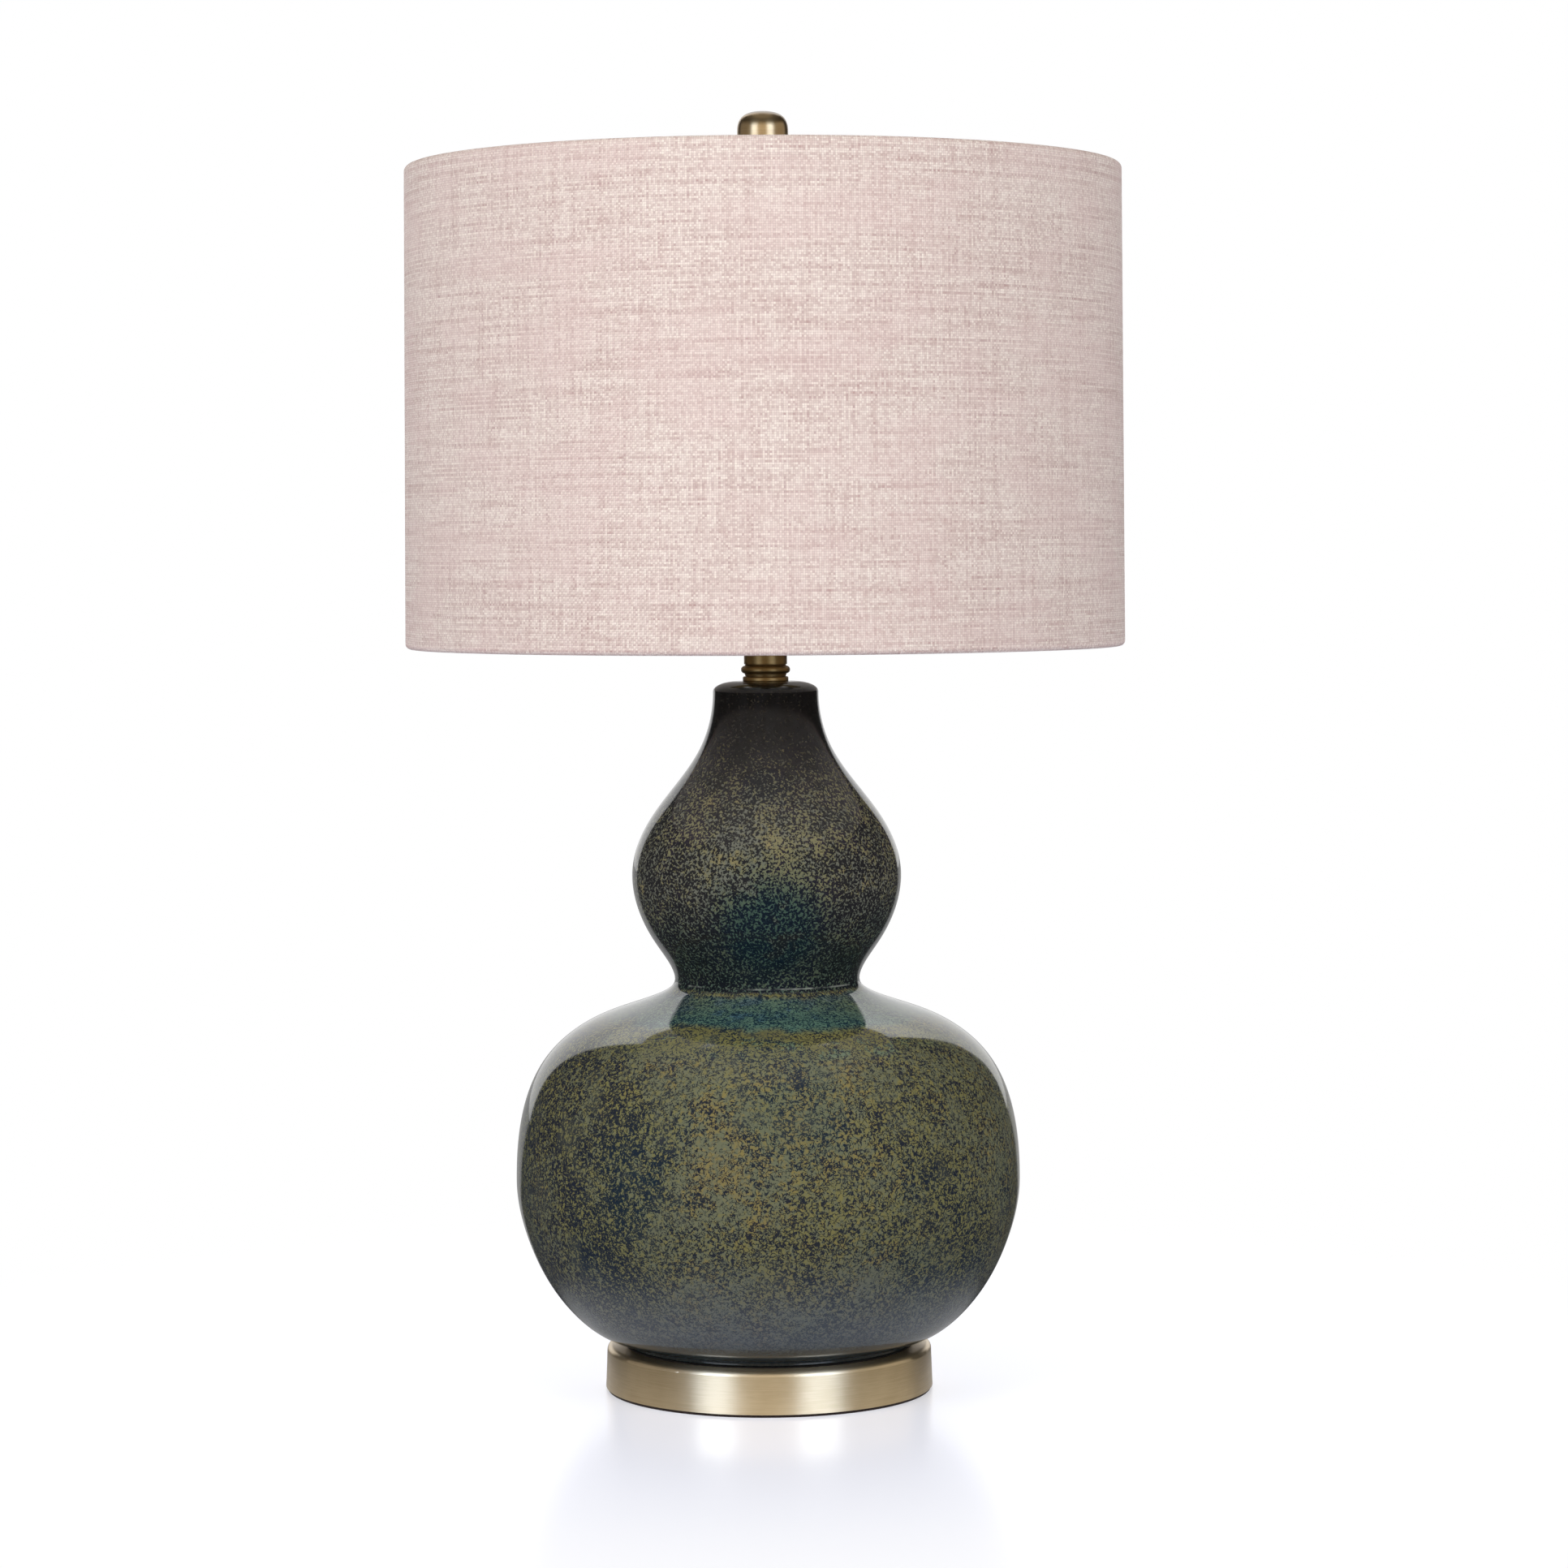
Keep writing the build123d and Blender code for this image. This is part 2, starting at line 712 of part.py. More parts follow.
def bulb_glass():
    """Blown glass envelope, open at the neck inside the cap."""
    return bulb_form(0) - bulb_form(bulb_glass_wall)


def bulb_cap():
    """Screw cap round the glass's neck."""
    start, end = bulb_z + bulb_cap_start, bulb_z + bulb_cap_end
    return ring(bulb_cap_radius, bulb_cap_radius - bulb_cap_wall, start, end)


def bulb_insulator():
    """Black glass cone that closes the cap's lower end."""
    cap_bottom = bulb_z + bulb_cap_start
    inner = bulb_cap_radius - bulb_cap_wall
    return turned(
        (0, bulb_z + bulb_insulator_start), (bulb_contact_radius, bulb_z + bulb_insulator_start),
        (bulb_insulator_radius, cap_bottom), (inner, cap_bottom),
        (inner, cap_bottom + bulb_insulator_start), (0, cap_bottom + bulb_insulator_start))


def bulb_contact():
    """Contact button under the insulator."""
    return disc(bulb_contact_radius, bulb_z, bulb_z + bulb_insulator_start)


# Shade

def shade_line(depth, height):
    """A point of the drum's wall at a depth under its outer face, at a height."""
    share = (height - shade_bottom_z) / shade_height
    return (shade_radius - shade_taper * share - depth, height)


def wall_band(outer_depth, inner_depth):
    """Part of the drum's wall between two depths, from ring to ring."""
    return turned(
        shade_line(outer_depth, bottom_ring_z), shade_line(outer_depth, top_ring_z),
        shade_line(inner_depth, top_ring_z), shade_line(inner_depth, bottom_ring_z))


def rolled_hem(ring_radius, ring_z, way):
    """Fabric turned over a ring and tucked under it; way is 1 at the top, -1 at the bottom."""
    inside = roll_radius - fabric_thickness
    tuck_z = ring_z - way * inside
    edge_z = ring_z - way * roll_radius
    rims = []
    for radius in (roll_radius, inside):
        slant = radius * math.sqrt(0.5)
        over_ring = ThreePointArc(
            (ring_radius + radius, 0, ring_z), (ring_radius, 0, ring_z + way * radius),
            (ring_radius - radius, 0, ring_z))
        under_ring = ThreePointArc(
            (ring_radius - radius, 0, ring_z),
            (ring_radius - slant, 0, ring_z - way * slant), (ring_radius, 0, ring_z - way * radius))
        rims += [over_ring, under_ring]
    liner_face = ring_radius + ring_wire_radius - weld_clearance
    rims.append(Polyline(
        (ring_radius, 0, edge_z), (liner_face, 0, edge_z), (liner_face, 0, tuck_z),
        (ring_radius, 0, tuck_z)))
    rims.append(Line((ring_radius + roll_radius, 0, ring_z), (ring_radius + inside, 0, ring_z)))
    return revolve(make_face(rims), Axis.Z)


def shade_fabric():
    """Linen skin, turned over both rings and notched round the arms."""
    skin = wall_band(0, fabric_thickness)
    skin += rolled_hem(top_ring_radius, top_ring_z, 1)
    skin += rolled_hem(bottom_ring_radius, bottom_ring_z, -1)
    for turn in arm_turns():
        skin -= Rot(0, 0, turn) * arm_rod(arm_radius + arm_notch_clearance)
    return skin


def shade_liner():
    """Stiff sheet behind the linen."""
    return wall_band(fabric_thickness, fabric_thickness + liner_thickness)


def shade_ring(radius, height):
    """Wire ring that rounds one end of the drum."""
    section = Plane.XZ * Pos(radius, height) * Circle(ring_wire_radius - weld_clearance)
    return revolve(section, Axis.Z)


def shade_top_ring():
    """Ring of the spider."""
    return shade_ring(top_ring_radius, top_ring_z)


def shade_bottom_ring():
    """Ring in the lower hem."""
    return shade_ring(bottom_ring_radius, bottom_ring_z)


def arm_turns():
    """Directions of the arms: one to the back, the others evenly round."""
    return [90 + index * 360 / arm_count for index in range(arm_count)]


def arm_rod(radius):
    """A rod from inside the hub, level and then up to the middle of the ring."""
    path = FilletPolyline(
        (hub_radius - hub_thickness, 0, arm_z), (top_ring_radius - arm_bend_inset, 0, arm_z),
        (top_ring_radius, 0, top_ring_z), radius=arm_bend_radius)
    return sweep(Plane(origin=path @ 0, z_dir=path % 0) * Circle(radius), path)


def spider_arms():
    """Three arms, each cut to the hub's rim and to the ring that it is welded to."""
    arm = arm_rod(arm_radius) - spider_hub() - shade_top_ring()
    arm = arm.solids().sort_by(SortBy.VOLUME)[-1]
    return Compound([Rot(0, 0, turn) * arm for turn in arm_turns()])


def spider_hub():
    """Washer that drops over the stud."""
    return ring(hub_radius, hub_hole_radius, hub_z, hub_z + hub_thickness)


# Finial

def finial():
    """Turned brass knob on a waisted stem, with a blind bore for the stud."""
    apex = Vector(0, 0, finial_z + finial_height)
    crown = Vector(finial_knob_radius, 0, apex.Z - finial_crown_height)
    under = finial_z + finial_knob_start
    sides = Polyline(
        apex, (0, 0, finial_z), (finial_collar_radius, 0, finial_z),
        (finial_collar_radius, 0, finial_z + finial_collar_height),
        (finial_stem_radius, 0, finial_z + finial_stem_start),
        (finial_stem_radius, 0, finial_z + finial_stem_end), (finial_knob_radius, 0, under),
        crown)
    dome = quarter_round(apex, crown, finial_crown_fullness)
    body = revolve(make_face([dome, sides]), Axis.Z)
    body = fillet(edges_at(body, finial_knob_radius, under), finial_under_round)
    bore = stud_thread_radius + turn_clearance
    return body - disc(bore, finial_z, finial_z + finial_bore_depth)


pieces = {
    "base_pad": base_pad(),
    "base_cover": base_cover(),
    "cord_bushing": cord_bushing(),
    "base_washer": base_washer(),
    "lock_washer": lock_washer(),
    "base_nut": base_nut(),
    "foot_gasket": foot_gasket(),
    "ceramic_body": ceramic_body(),
    "threaded_rod": threaded_rod(),
    "neck_washer": neck_washer(),
    "neck_bead": neck_bead(),
    "neck_tube": neck_tube(),
    "harp_saddle": harp_saddle(),
    "harp_legs": harp_legs(),
    "harp_top_plate": harp_top_plate(),
    "ferrule_left": ferrule(-1),
    "ferrule_right": ferrule(1),
    "finial_stud": finial_stud(),
    "socket_cap": socket_cap(),
    "cap_set_screw": cap_set_screw(),
    "socket_shell": socket_shell(),
    "socket_sleeve": socket_sleeve(),
    "socket_interior": socket_interior(),
    "screw_shell": screw_shell(),
    "centre_contact": centre_contact(),
    "terminal_screws": terminal_screws(),
    "switch_stem": switch_stem(),
    "switch_knob": switch_knob(),
    "bulb_glass": bulb_glass(),
    "bulb_cap": bulb_cap(),
    "bulb_insulator": bulb_insulator(),
    "bulb_contact": bulb_contact(),
    "shade_fabric": shade_fabric(),
    "shade_liner": shade_liner(),
    "shade_top_ring": shade_top_ring(),
    "shade_bottom_ring": shade_bottom_ring(),
    "spider_arms": spider_arms(),
    "spider_hub": spider_hub(),
    "finial": finial(),
}

os.makedirs("parts", exist_ok=True)
for name, piece in pieces.items():
    export_step(piece, f"parts/{name}.step")
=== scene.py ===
import math

import bmesh
import bpy
import numpy as np
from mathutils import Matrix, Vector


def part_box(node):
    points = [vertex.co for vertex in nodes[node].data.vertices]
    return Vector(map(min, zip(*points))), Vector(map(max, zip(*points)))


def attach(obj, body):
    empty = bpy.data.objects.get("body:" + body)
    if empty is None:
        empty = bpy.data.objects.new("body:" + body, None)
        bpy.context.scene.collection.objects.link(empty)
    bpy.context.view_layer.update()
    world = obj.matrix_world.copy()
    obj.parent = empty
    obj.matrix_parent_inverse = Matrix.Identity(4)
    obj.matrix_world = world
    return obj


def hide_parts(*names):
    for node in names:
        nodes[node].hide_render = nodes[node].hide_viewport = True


# Looks of the double gourd lamp. Six pieces are rebuilt as fine surfaces round the Z axis, the
# rest keeps its CAD shape and gets a finish. Lengths in the settings are millimetres, but the
# glaze's heights and spots, the floor, the lights and the camera's place are in metres.

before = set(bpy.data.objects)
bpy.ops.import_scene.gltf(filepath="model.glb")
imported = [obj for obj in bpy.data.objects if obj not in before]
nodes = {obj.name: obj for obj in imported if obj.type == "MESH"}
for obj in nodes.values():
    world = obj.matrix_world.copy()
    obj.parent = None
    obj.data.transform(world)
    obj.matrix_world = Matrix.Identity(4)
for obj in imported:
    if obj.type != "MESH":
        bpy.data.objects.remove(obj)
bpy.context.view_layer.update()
mm = 0.001
fullTurn = 2 * math.pi
print("frame loaded:", len(nodes), "nodes")


# Shader sums: a Wire is a socket that can be added, multiplied and compared like a number.

class Wire:
    def __init__(self, finish, socket):
        self.finish, self.socket = finish, socket

    def calc(self, operation, *values):
        return self.finish.node("ShaderNodeMath", {"operation": operation}, values)

    def __add__(self, other):
        return self.calc("ADD", self, other)

    __radd__ = __add__

    def __sub__(self, other):
        return self.calc("SUBTRACT", self, other)

    def __rsub__(self, other):
        return self.calc("SUBTRACT", other, self)

    def __mul__(self, other):
        return self.calc("MULTIPLY", self, other)

    __rmul__ = __mul__

    def __truediv__(self, other):
        return self.calc("DIVIDE", self, other)

    def __pow__(self, other):
        return self.calc("POWER", self, other)

    def floor(self):
        return self.calc("FLOOR", self)

    def fraction(self):
        return self.calc("FRACT", self)

    def sine(self):
        return self.calc("SINE", self)

    def size(self):
        return self.calc("ABSOLUTE", self)

    def angleTo(self, other):
        return self.calc("ARCTAN2", self, other)

    def atLeast(self, other):
        return self.calc("MAXIMUM", self, other)

    def atMost(self, other):
        return self.calc("MINIMUM", self, other)


class Finish:
    # One material, or the world: short ways to add nodes, and the shader at its end.
    def __init__(self, name, world=None):
        self.material = world or bpy.data.materials.new(name)
        self.material.use_nodes = True
        self.tree = self.material.node_tree
        self.tree.nodes.clear()
        self.end = self.tree.nodes.new("ShaderNodeOutputWorld" if world else "ShaderNodeOutputMaterial")
        self.place = self.node("ShaderNodeTexCoord", output="Generated" if world else "Object")

    def node(self, kind, settings=None, inputs=(), output=0):
        made = self.tree.nodes.new(kind)
        for key, value in (settings or {}).items():
            setattr(made, key, value)
        pairs = inputs.items() if isinstance(inputs, dict) else enumerate(inputs)
        for key, value in pairs:
            if isinstance(value, Wire):
                self.tree.links.new(value.socket, made.inputs[key])
            else:
                made.inputs[key].default_value = value
        return Wire(self, made.outputs[output])

    def uv(self):
        return self.node("ShaderNodeUVMap", {"uv_map": "UVMap"})

    def axes(self, place):
        parts = self.node("ShaderNodeSeparateXYZ", None, [place]).socket.node
        return [Wire(self, socket) for socket in parts.outputs]

    def spot(self, x, y, z=0.0):
        return self.node("ShaderNodeCombineXYZ", None, [x, y, z])

    def stretched(self, place, x, y, z):
        return self.node("ShaderNodeVectorMath", {"operation": "MULTIPLY"}, [place, (x, y, z)])

    def noise(self, place, scale, detail=2.0, roughness=0.5, distortion=0.0):
        sockets = {"Vector": place, "Scale": scale, "Detail": detail, "Roughness": roughness,
                   "Distortion": distortion}
        return self.node("ShaderNodeTexNoise", {"noise_dimensions": "3D"}, sockets, "Fac")

    def cells(self, place, scale):
        sockets = {"Vector": place, "Scale": scale}
        return self.node("ShaderNodeTexVoronoi", {"feature": "F1"}, sockets, "Distance")

    def lot(self, place):
        # one value of its own for every whole place
        return self.node("ShaderNodeTexWhiteNoise", {"noise_dimensions": "3D"}, [place], "Value")

    def near(self, spot, inner, outer):
        # 1 inside the inner distance from a spot, down to 0 at the outer one
        gap = self.node("ShaderNodeVectorMath", {"operation": "DISTANCE"}, [self.place, spot], "Value")
        return self.step(gap, inner, outer, 1.0, 0.0)

    def step(self, value, low, high, start=0.0, stop=1.0):
        # smooth change from start to stop while the value goes from low to high
        settings = {"interpolation_type": "SMOOTHSTEP"}
        return self.node("ShaderNodeMapRange", settings, [value, low, high, start, stop])

    def mix(self, factor, first, second):
        # the first colour where the factor is 0, the second where it is 1
        settings = {"data_type": "RGBA", "blend_type": "MIX"}
        return self.node("ShaderNodeMix", settings, {0: factor, 6: first, 7: second}, 2)

    def bump(self, height, distance, strength=1.0):
        sockets = {"Strength": strength, "Distance": distance, "Height": height}
        return self.node("ShaderNodeBump", None, sockets)

    def shader(self, **sockets):
        named = {name.replace("_", " "): value for name, value in sockets.items()}
        surface = self.node("ShaderNodeBsdfPrincipled", None, named)
        return self.show(surface)

    def glow(self, strength):
        return self.node("ShaderNodeEmission", None, {"Color": (1, 1, 1, 1), "Strength": strength})

    def sky(self, strength):
        return self.node("ShaderNodeBackground", None, {"Color": (1, 1, 1, 1), "Strength": strength})

    def ray(self, kind):
        return self.node("ShaderNodeLightPath", output="Is " + kind + " Ray")

    def blendShaders(self, share, first, second):
        return self.node("ShaderNodeMixShader", None, [share, first, second])

    def show(self, surface):
        self.tree.links.new(surface.socket, self.end.inputs["Surface"])
        return self.material


def tone(red, green, blue):
    # a screen colour from 0 to 255 as the linear light that Blender works in
    shares = [value / 255 for value in (red, green, blue)]
    return (*[s / 12.92 if s <= 0.04045 else ((s + 0.055) / 1.055) ** 2.4 for s in shares], 1.0)


# Surfaces

def surface(name, points, uv=None, wrapAlong=False, sharpAbove=35):
    # points[i, j] is a grid of places, i round the piece and j along its profile; quad i, j joins
    # its four neighbours, and the grid closes on itself round the piece
    around, along = points.shape[:2]
    rows = along if wrapAlong else along - 1
    i, j = np.meshgrid(np.arange(around), np.arange(rows), indexing="ij")
    nextI, nextJ = (i + 1) % around, (j + 1) % along
    quads = np.stack([i * along + j, nextI * along + j, nextI * along + nextJ,
                      i * along + nextJ], axis=-1).reshape(-1, 4)
    mesh = bpy.data.meshes.new(name)
    mesh.vertices.add(around * along)
    mesh.vertices.foreach_set("co", np.ascontiguousarray(points, np.float32).ravel())
    mesh.loops.add(quads.size)
    mesh.loops.foreach_set("vertex_index", quads.astype(np.int32).ravel())
    mesh.polygons.add(len(quads))
    mesh.polygons.foreach_set("loop_start", np.arange(0, quads.size, 4, dtype=np.int32))
    mesh.update(calc_edges=True)
    if uv is not None:
        across, up = uv   # lengths at every step round and at every step along, in metres
        corners = np.stack([
            np.stack([across[i], up[j]], -1), np.stack([across[i + 1], up[j]], -1),
            np.stack([across[i + 1], up[j + 1]], -1), np.stack([across[i], up[j + 1]], -1)], axis=2)
        layer = mesh.uv_layers.new(name="UVMap")
        layer.data.foreach_set("uv", corners.astype(np.float32).ravel())
    work = bmesh.new()
    work.from_mesh(mesh)
    bmesh.ops.remove_doubles(work, verts=work.verts, dist=1e-7)
    work.to_mesh(mesh)
    work.free()
    mesh.polygons.foreach_set("use_smooth", np.ones(len(mesh.polygons), bool))
    mesh.set_sharp_from_angle(angle=math.radians(sharpAbove))
    return mesh


def lathed(name, profile, segments=192, **settings):
    # x = r cos a, y = r sin a, z = height for every angle a and every (r, height) of the profile,
    # which runs anticlockwise, so that faces look outwards
    angle = np.linspace(0, fullTurn, segments, endpoint=False)[:, None]
    radius, height = np.asarray(profile, float).T * mm
    points = np.stack([radius * np.cos(angle), radius * np.sin(angle),
                       height * np.ones_like(angle)], axis=-1)
    return surface(name, points, **settings)


def rounded(corners, steps=6):
    # (radius, height, round) corners of a profile; a corner with a round becomes an arc that
    # touches both sides, found by turning one spoke of its circle into the other
    path = []
    count = len(corners)
    for index, (radius, height, size) in enumerate(corners):
        here = np.array((radius, height), float)
        if size == 0:
            path.append(here[None])
            continue
        back = np.array(corners[index - 1][:2]) - here
        ahead = np.array(corners[(index + 1) % count][:2]) - here
        back, ahead = back / np.linalg.norm(back), ahead / np.linalg.norm(ahead)
        half = math.acos(np.clip(back @ ahead, -1, 1)) / 2
        centre = here + (back + ahead) / np.linalg.norm(back + ahead) * size / math.sin(half)
        reach = size / math.tan(half)
        first, last = here + back * reach - centre, here + ahead * reach - centre
        swing = math.pi - 2 * half
        t = np.linspace(0, 1, steps + 1)[:, None]
        spokes = np.sin((1 - t) * swing) * first + np.sin(t * swing) * last
        path.append(centre + spokes / math.sin(swing))
    return np.vstack(path)


def clampedSpline(points, startWay, endWay, steps):
    # piecewise cubic through the points with chord length as its parameter and unit slopes at both
    # ends; the inner slopes are the ones that keep the second derivative continuous
    points = np.asarray(points, float)
    chord = np.linalg.norm(np.diff(points, axis=0), axis=1)
    matrix, right = np.eye(len(points)), np.zeros((len(points), 2))
    right[0], right[-1] = startWay, endWay
    for k in range(1, len(points) - 1):
        before, after = chord[k - 1], chord[k]
        matrix[k, k - 1:k + 2] = after, 2 * (before + after), before
        right[k] = 3 * (after / before * (points[k] - points[k - 1])
                        + before / after * (points[k + 1] - points[k]))
    slopes = np.linalg.solve(matrix, right)
    t = np.linspace(0, 1, steps, endpoint=False)[:, None]
    spans = [(2 * t**3 - 3 * t**2 + 1) * points[k] + (t**3 - 2 * t**2 + t) * chord[k] * slopes[k]
             + (3 * t**2 - 2 * t**3) * points[k + 1] + (t**3 - t**2) * chord[k] * slopes[k + 1]
             for k in range(len(chord))]
    return np.vstack([*spans, points[-1:]])


def evenly(path, step):
    # the same line with stations every step of its own length
    length = np.concatenate([[0], np.cumsum(np.linalg.norm(np.diff(path, axis=0), axis=1))])
    marks = np.linspace(0, length[-1], max(2, round(length[-1] / step)) + 1)
    return np.stack([np.interp(marks, length, path[:, 0]), np.interp(marks, length, path[:, 1])], -1)


def add(mesh, finish, body, slot, *replaced):
    # a new piece on one body of the frame, in place of the named CAD nodes
    piece = bpy.data.objects.new(mesh.name, mesh)
    bpy.context.scene.collection.objects.link(piece)
    mesh.materials.append(finish)
    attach(piece, body)
    if replaced:
        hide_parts(*replaced)
    return piece


def dress(finish, *names):
    # CAD nodes that keep their shape and take a finish
    for name in names:
        for place in nodes[name].material_slots:
            place.material = finish


# Glazed body

gourd = {
    "neckRadius": 28.2, "rimAcross": 13.0, "rimDown": 5.5,
    "crown": (71.9, 251.2), "waist": (47.7, 193.0), "belly": (134.9, 88.7), "foot": (77.0, 2.8),
    "neckLine": [(0.138, 0.286), (0.799, 0.710)], "crownLine": [(0.455, 0.589)],
    "shoulderLine": [(0.502, 0.173), (0.812, 0.374)], "bellyLine": [(0.113, 0.382), (0.463, 0.791)],
    "leanAbove": 11.5, "leanBelow": 34.4,     # degrees, off upright and off level at the waist
    # the corner at the waist is averaged over this many fine steps to either side: fully up to
    # the first distance from it, not at all past the second
    "waistReach": 24, "waistSoft": (5.4, 14.4),
    "wall": 6.0, "lid": 7.0, "pipeHole": 5.15, "floorHole": 16.0, "floorThick": 4.2,
    "footRing": 9.5, "footRecess": 3.6, "footEdgeRound": 0.8,
    "segments": 272, "station": 1.8, "fineStep": 0.5, "splineSteps": 60, "rimSteps": 14,
    "insideSkip": 4,     # one station in so many is kept on the inside, where nobody looks
}


def between(start, end, shares):
    # line points given as shares of the way in radius and in height
    start, end = np.array(start), np.array(end)
    return [start, *[start + (end - start) * share for share in shares], end]


def gourdOutside(g, footZ, rimZ):
    # four splines from under the rim down to the foot ring, the corner at the waist rounded by an
    # average over its neighbourhood, and a quarter ellipse for the rim
    lift = np.array((0, footZ))
    neck = np.array((g["neckRadius"], rimZ - g["rimDown"]))
    crown, waist, belly, foot = [np.array(g[key]) + lift
                                 for key in ("crown", "waist", "belly", "foot")]
    above, below = math.radians(g["leanAbove"]), math.radians(g["leanBelow"])
    down, inward, steps = (0, -1), (-1, 0), g["splineSteps"]
    intoWaist = (-math.sin(above), -math.cos(above))
    outOfWaist = (math.cos(below), -math.sin(below))
    upper = np.vstack([
        clampedSpline(between(neck, crown, g["neckLine"]), down, down, steps)[:-1],
        clampedSpline(between(crown, waist, g["crownLine"]), down, intoWaist, steps)])
    lower = np.vstack([
        clampedSpline(between(waist, belly, g["shoulderLine"]), outOfWaist, down, steps)[:-1],
        clampedSpline(between(belly, foot, g["bellyLine"]), down, inward, steps)])
    wallLine = evenly(np.vstack([upper, lower[1:]]), g["fineStep"])
    reach = g["waistReach"]
    weight = np.hanning(2 * reach + 1)[1:-1]
    padded = np.pad(wallLine, ((reach - 1, reach - 1), (0, 0)), mode="edge")
    soft = np.stack([np.convolve(padded[:, k], weight / weight.sum(), "valid") for k in (0, 1)], -1)
    away = np.linalg.norm(wallLine - waist, axis=1)
    full, none = g["waistSoft"]
    share = np.clip((none - away) / (none - full), 0, 1)[:, None]
    wallLine = evenly(wallLine + (soft - wallLine) * share * share * (3 - 2 * share), g["station"])
    quarter = np.linspace(0, math.pi / 2, g["rimSteps"])[:, None]
    rim = np.hstack([g["neckRadius"] - g["rimAcross"] * (1 - np.sin(quarter)),
                     rimZ - g["rimDown"] * (1 - np.cos(quarter))])
    return np.vstack([rim[:-1], wallLine])


def gourdProfile(g, footZ, rimZ):
    # the outside going up, then the lid's hole and the inside going down, a wall's thickness in;
    # the third number of a corner is its round
    outside = gourdOutside(g, footZ, rimZ)
    along = np.gradient(outside, axis=0)
    along /= np.linalg.norm(along, axis=1)[:, None]
    inward = np.stack([along[:, 1], -along[:, 0]], -1) * g["wall"]
    inside = (outside + inward)[(outside[:, 1] < rimZ - g["lid"] - g["rimDown"])]
    inside = inside[inside[:, 1] > footZ + g["footRecess"] + g["floorThick"]]
    inside = np.vstack([inside[:-1:g["insideSkip"]], inside[-1:]])
    foot, ring = g["foot"][0], g["foot"][0] - g["footRing"]
    floorTop = inside[-1, 1]
    below = rounded([
        (g["floorHole"], floorTop, 0.5), (g["floorHole"], footZ + g["footRecess"], 1.0),
        (ring, footZ + g["footRecess"], 0.8), (ring, footZ, 0.6), (foot, footZ, g["footEdgeRound"]),
        (foot, footZ + g["foot"][1], 0)])
    lid = np.array([(g["pipeHole"], rimZ), (g["pipeHole"], rimZ - g["lid"]),
                    (inside[0, 0], rimZ - g["lid"])])
    return np.vstack([below[:-1], outside[::-1], lid, inside])


glaze = {
    "vein": 350, "fleck": 570, "speck": 740,     # size of the marks, as so many to the metre
    # heights where the zones change, in metres over the table
    "foot": (0.031, 0.046), "floorReflection": (0.030, 0.100),
    "gold": (0.186, 0.1965, 0.2000, 0.2035), "wisp": (0.187, 0.191, 0.196, 0.199),
    "teal": (0.2000, 0.2035, 0.2140, 0.2165), "upperStart": (0.2160, 0.2180), "crease": 0.2192,
    "waistDark": (0.232, 0.276), "neck": (0.310, 0.364),
    # pools of colour at the front, each a spot in metres
    "pool": (-0.062, -0.112, 0.122), "pond": (0.002, -0.062, 0.250),
    "heart": (-0.010, -0.070, 0.292), "warm": (0.015, -0.130, 0.150),
}

glazeTones = {
    "olive": (122, 117, 72), "greyGreen": (108, 110, 86), "tan": (140, 122, 72), "moss": (90, 101, 78),
    "navy": (33, 37, 48), "ink": (20, 39, 54), "milk": (98, 100, 86), "dusk": (52, 46, 37),
    "stoneOlive": (122, 118, 86), "stoneGrey": (106, 107, 95), "stoneTan": (142, 127, 86),
    "charcoal": (38, 37, 38), "umber": (24, 21, 18), "plum": (44, 40, 48),
    "tealPale": (82, 118, 106), "tealBlue": (56, 102, 124), "tealDark": (26, 50, 62),
    "goldPale": (118, 113, 62), "deepPale": (58, 84, 74), "deepDark": (8, 19, 27),
    "footShadeTeal": (20, 38, 42), "floorReflectionGrey": (92, 101, 112), "creaseHighlight": (150, 154, 146),
}


def band(f, height, low, full, fading, high):
    # 1 between full and fading, smoothly down to 0 at low and high
    return f.step(height, low, full) * f.step(height, fading, high, 1.0, 0.0)


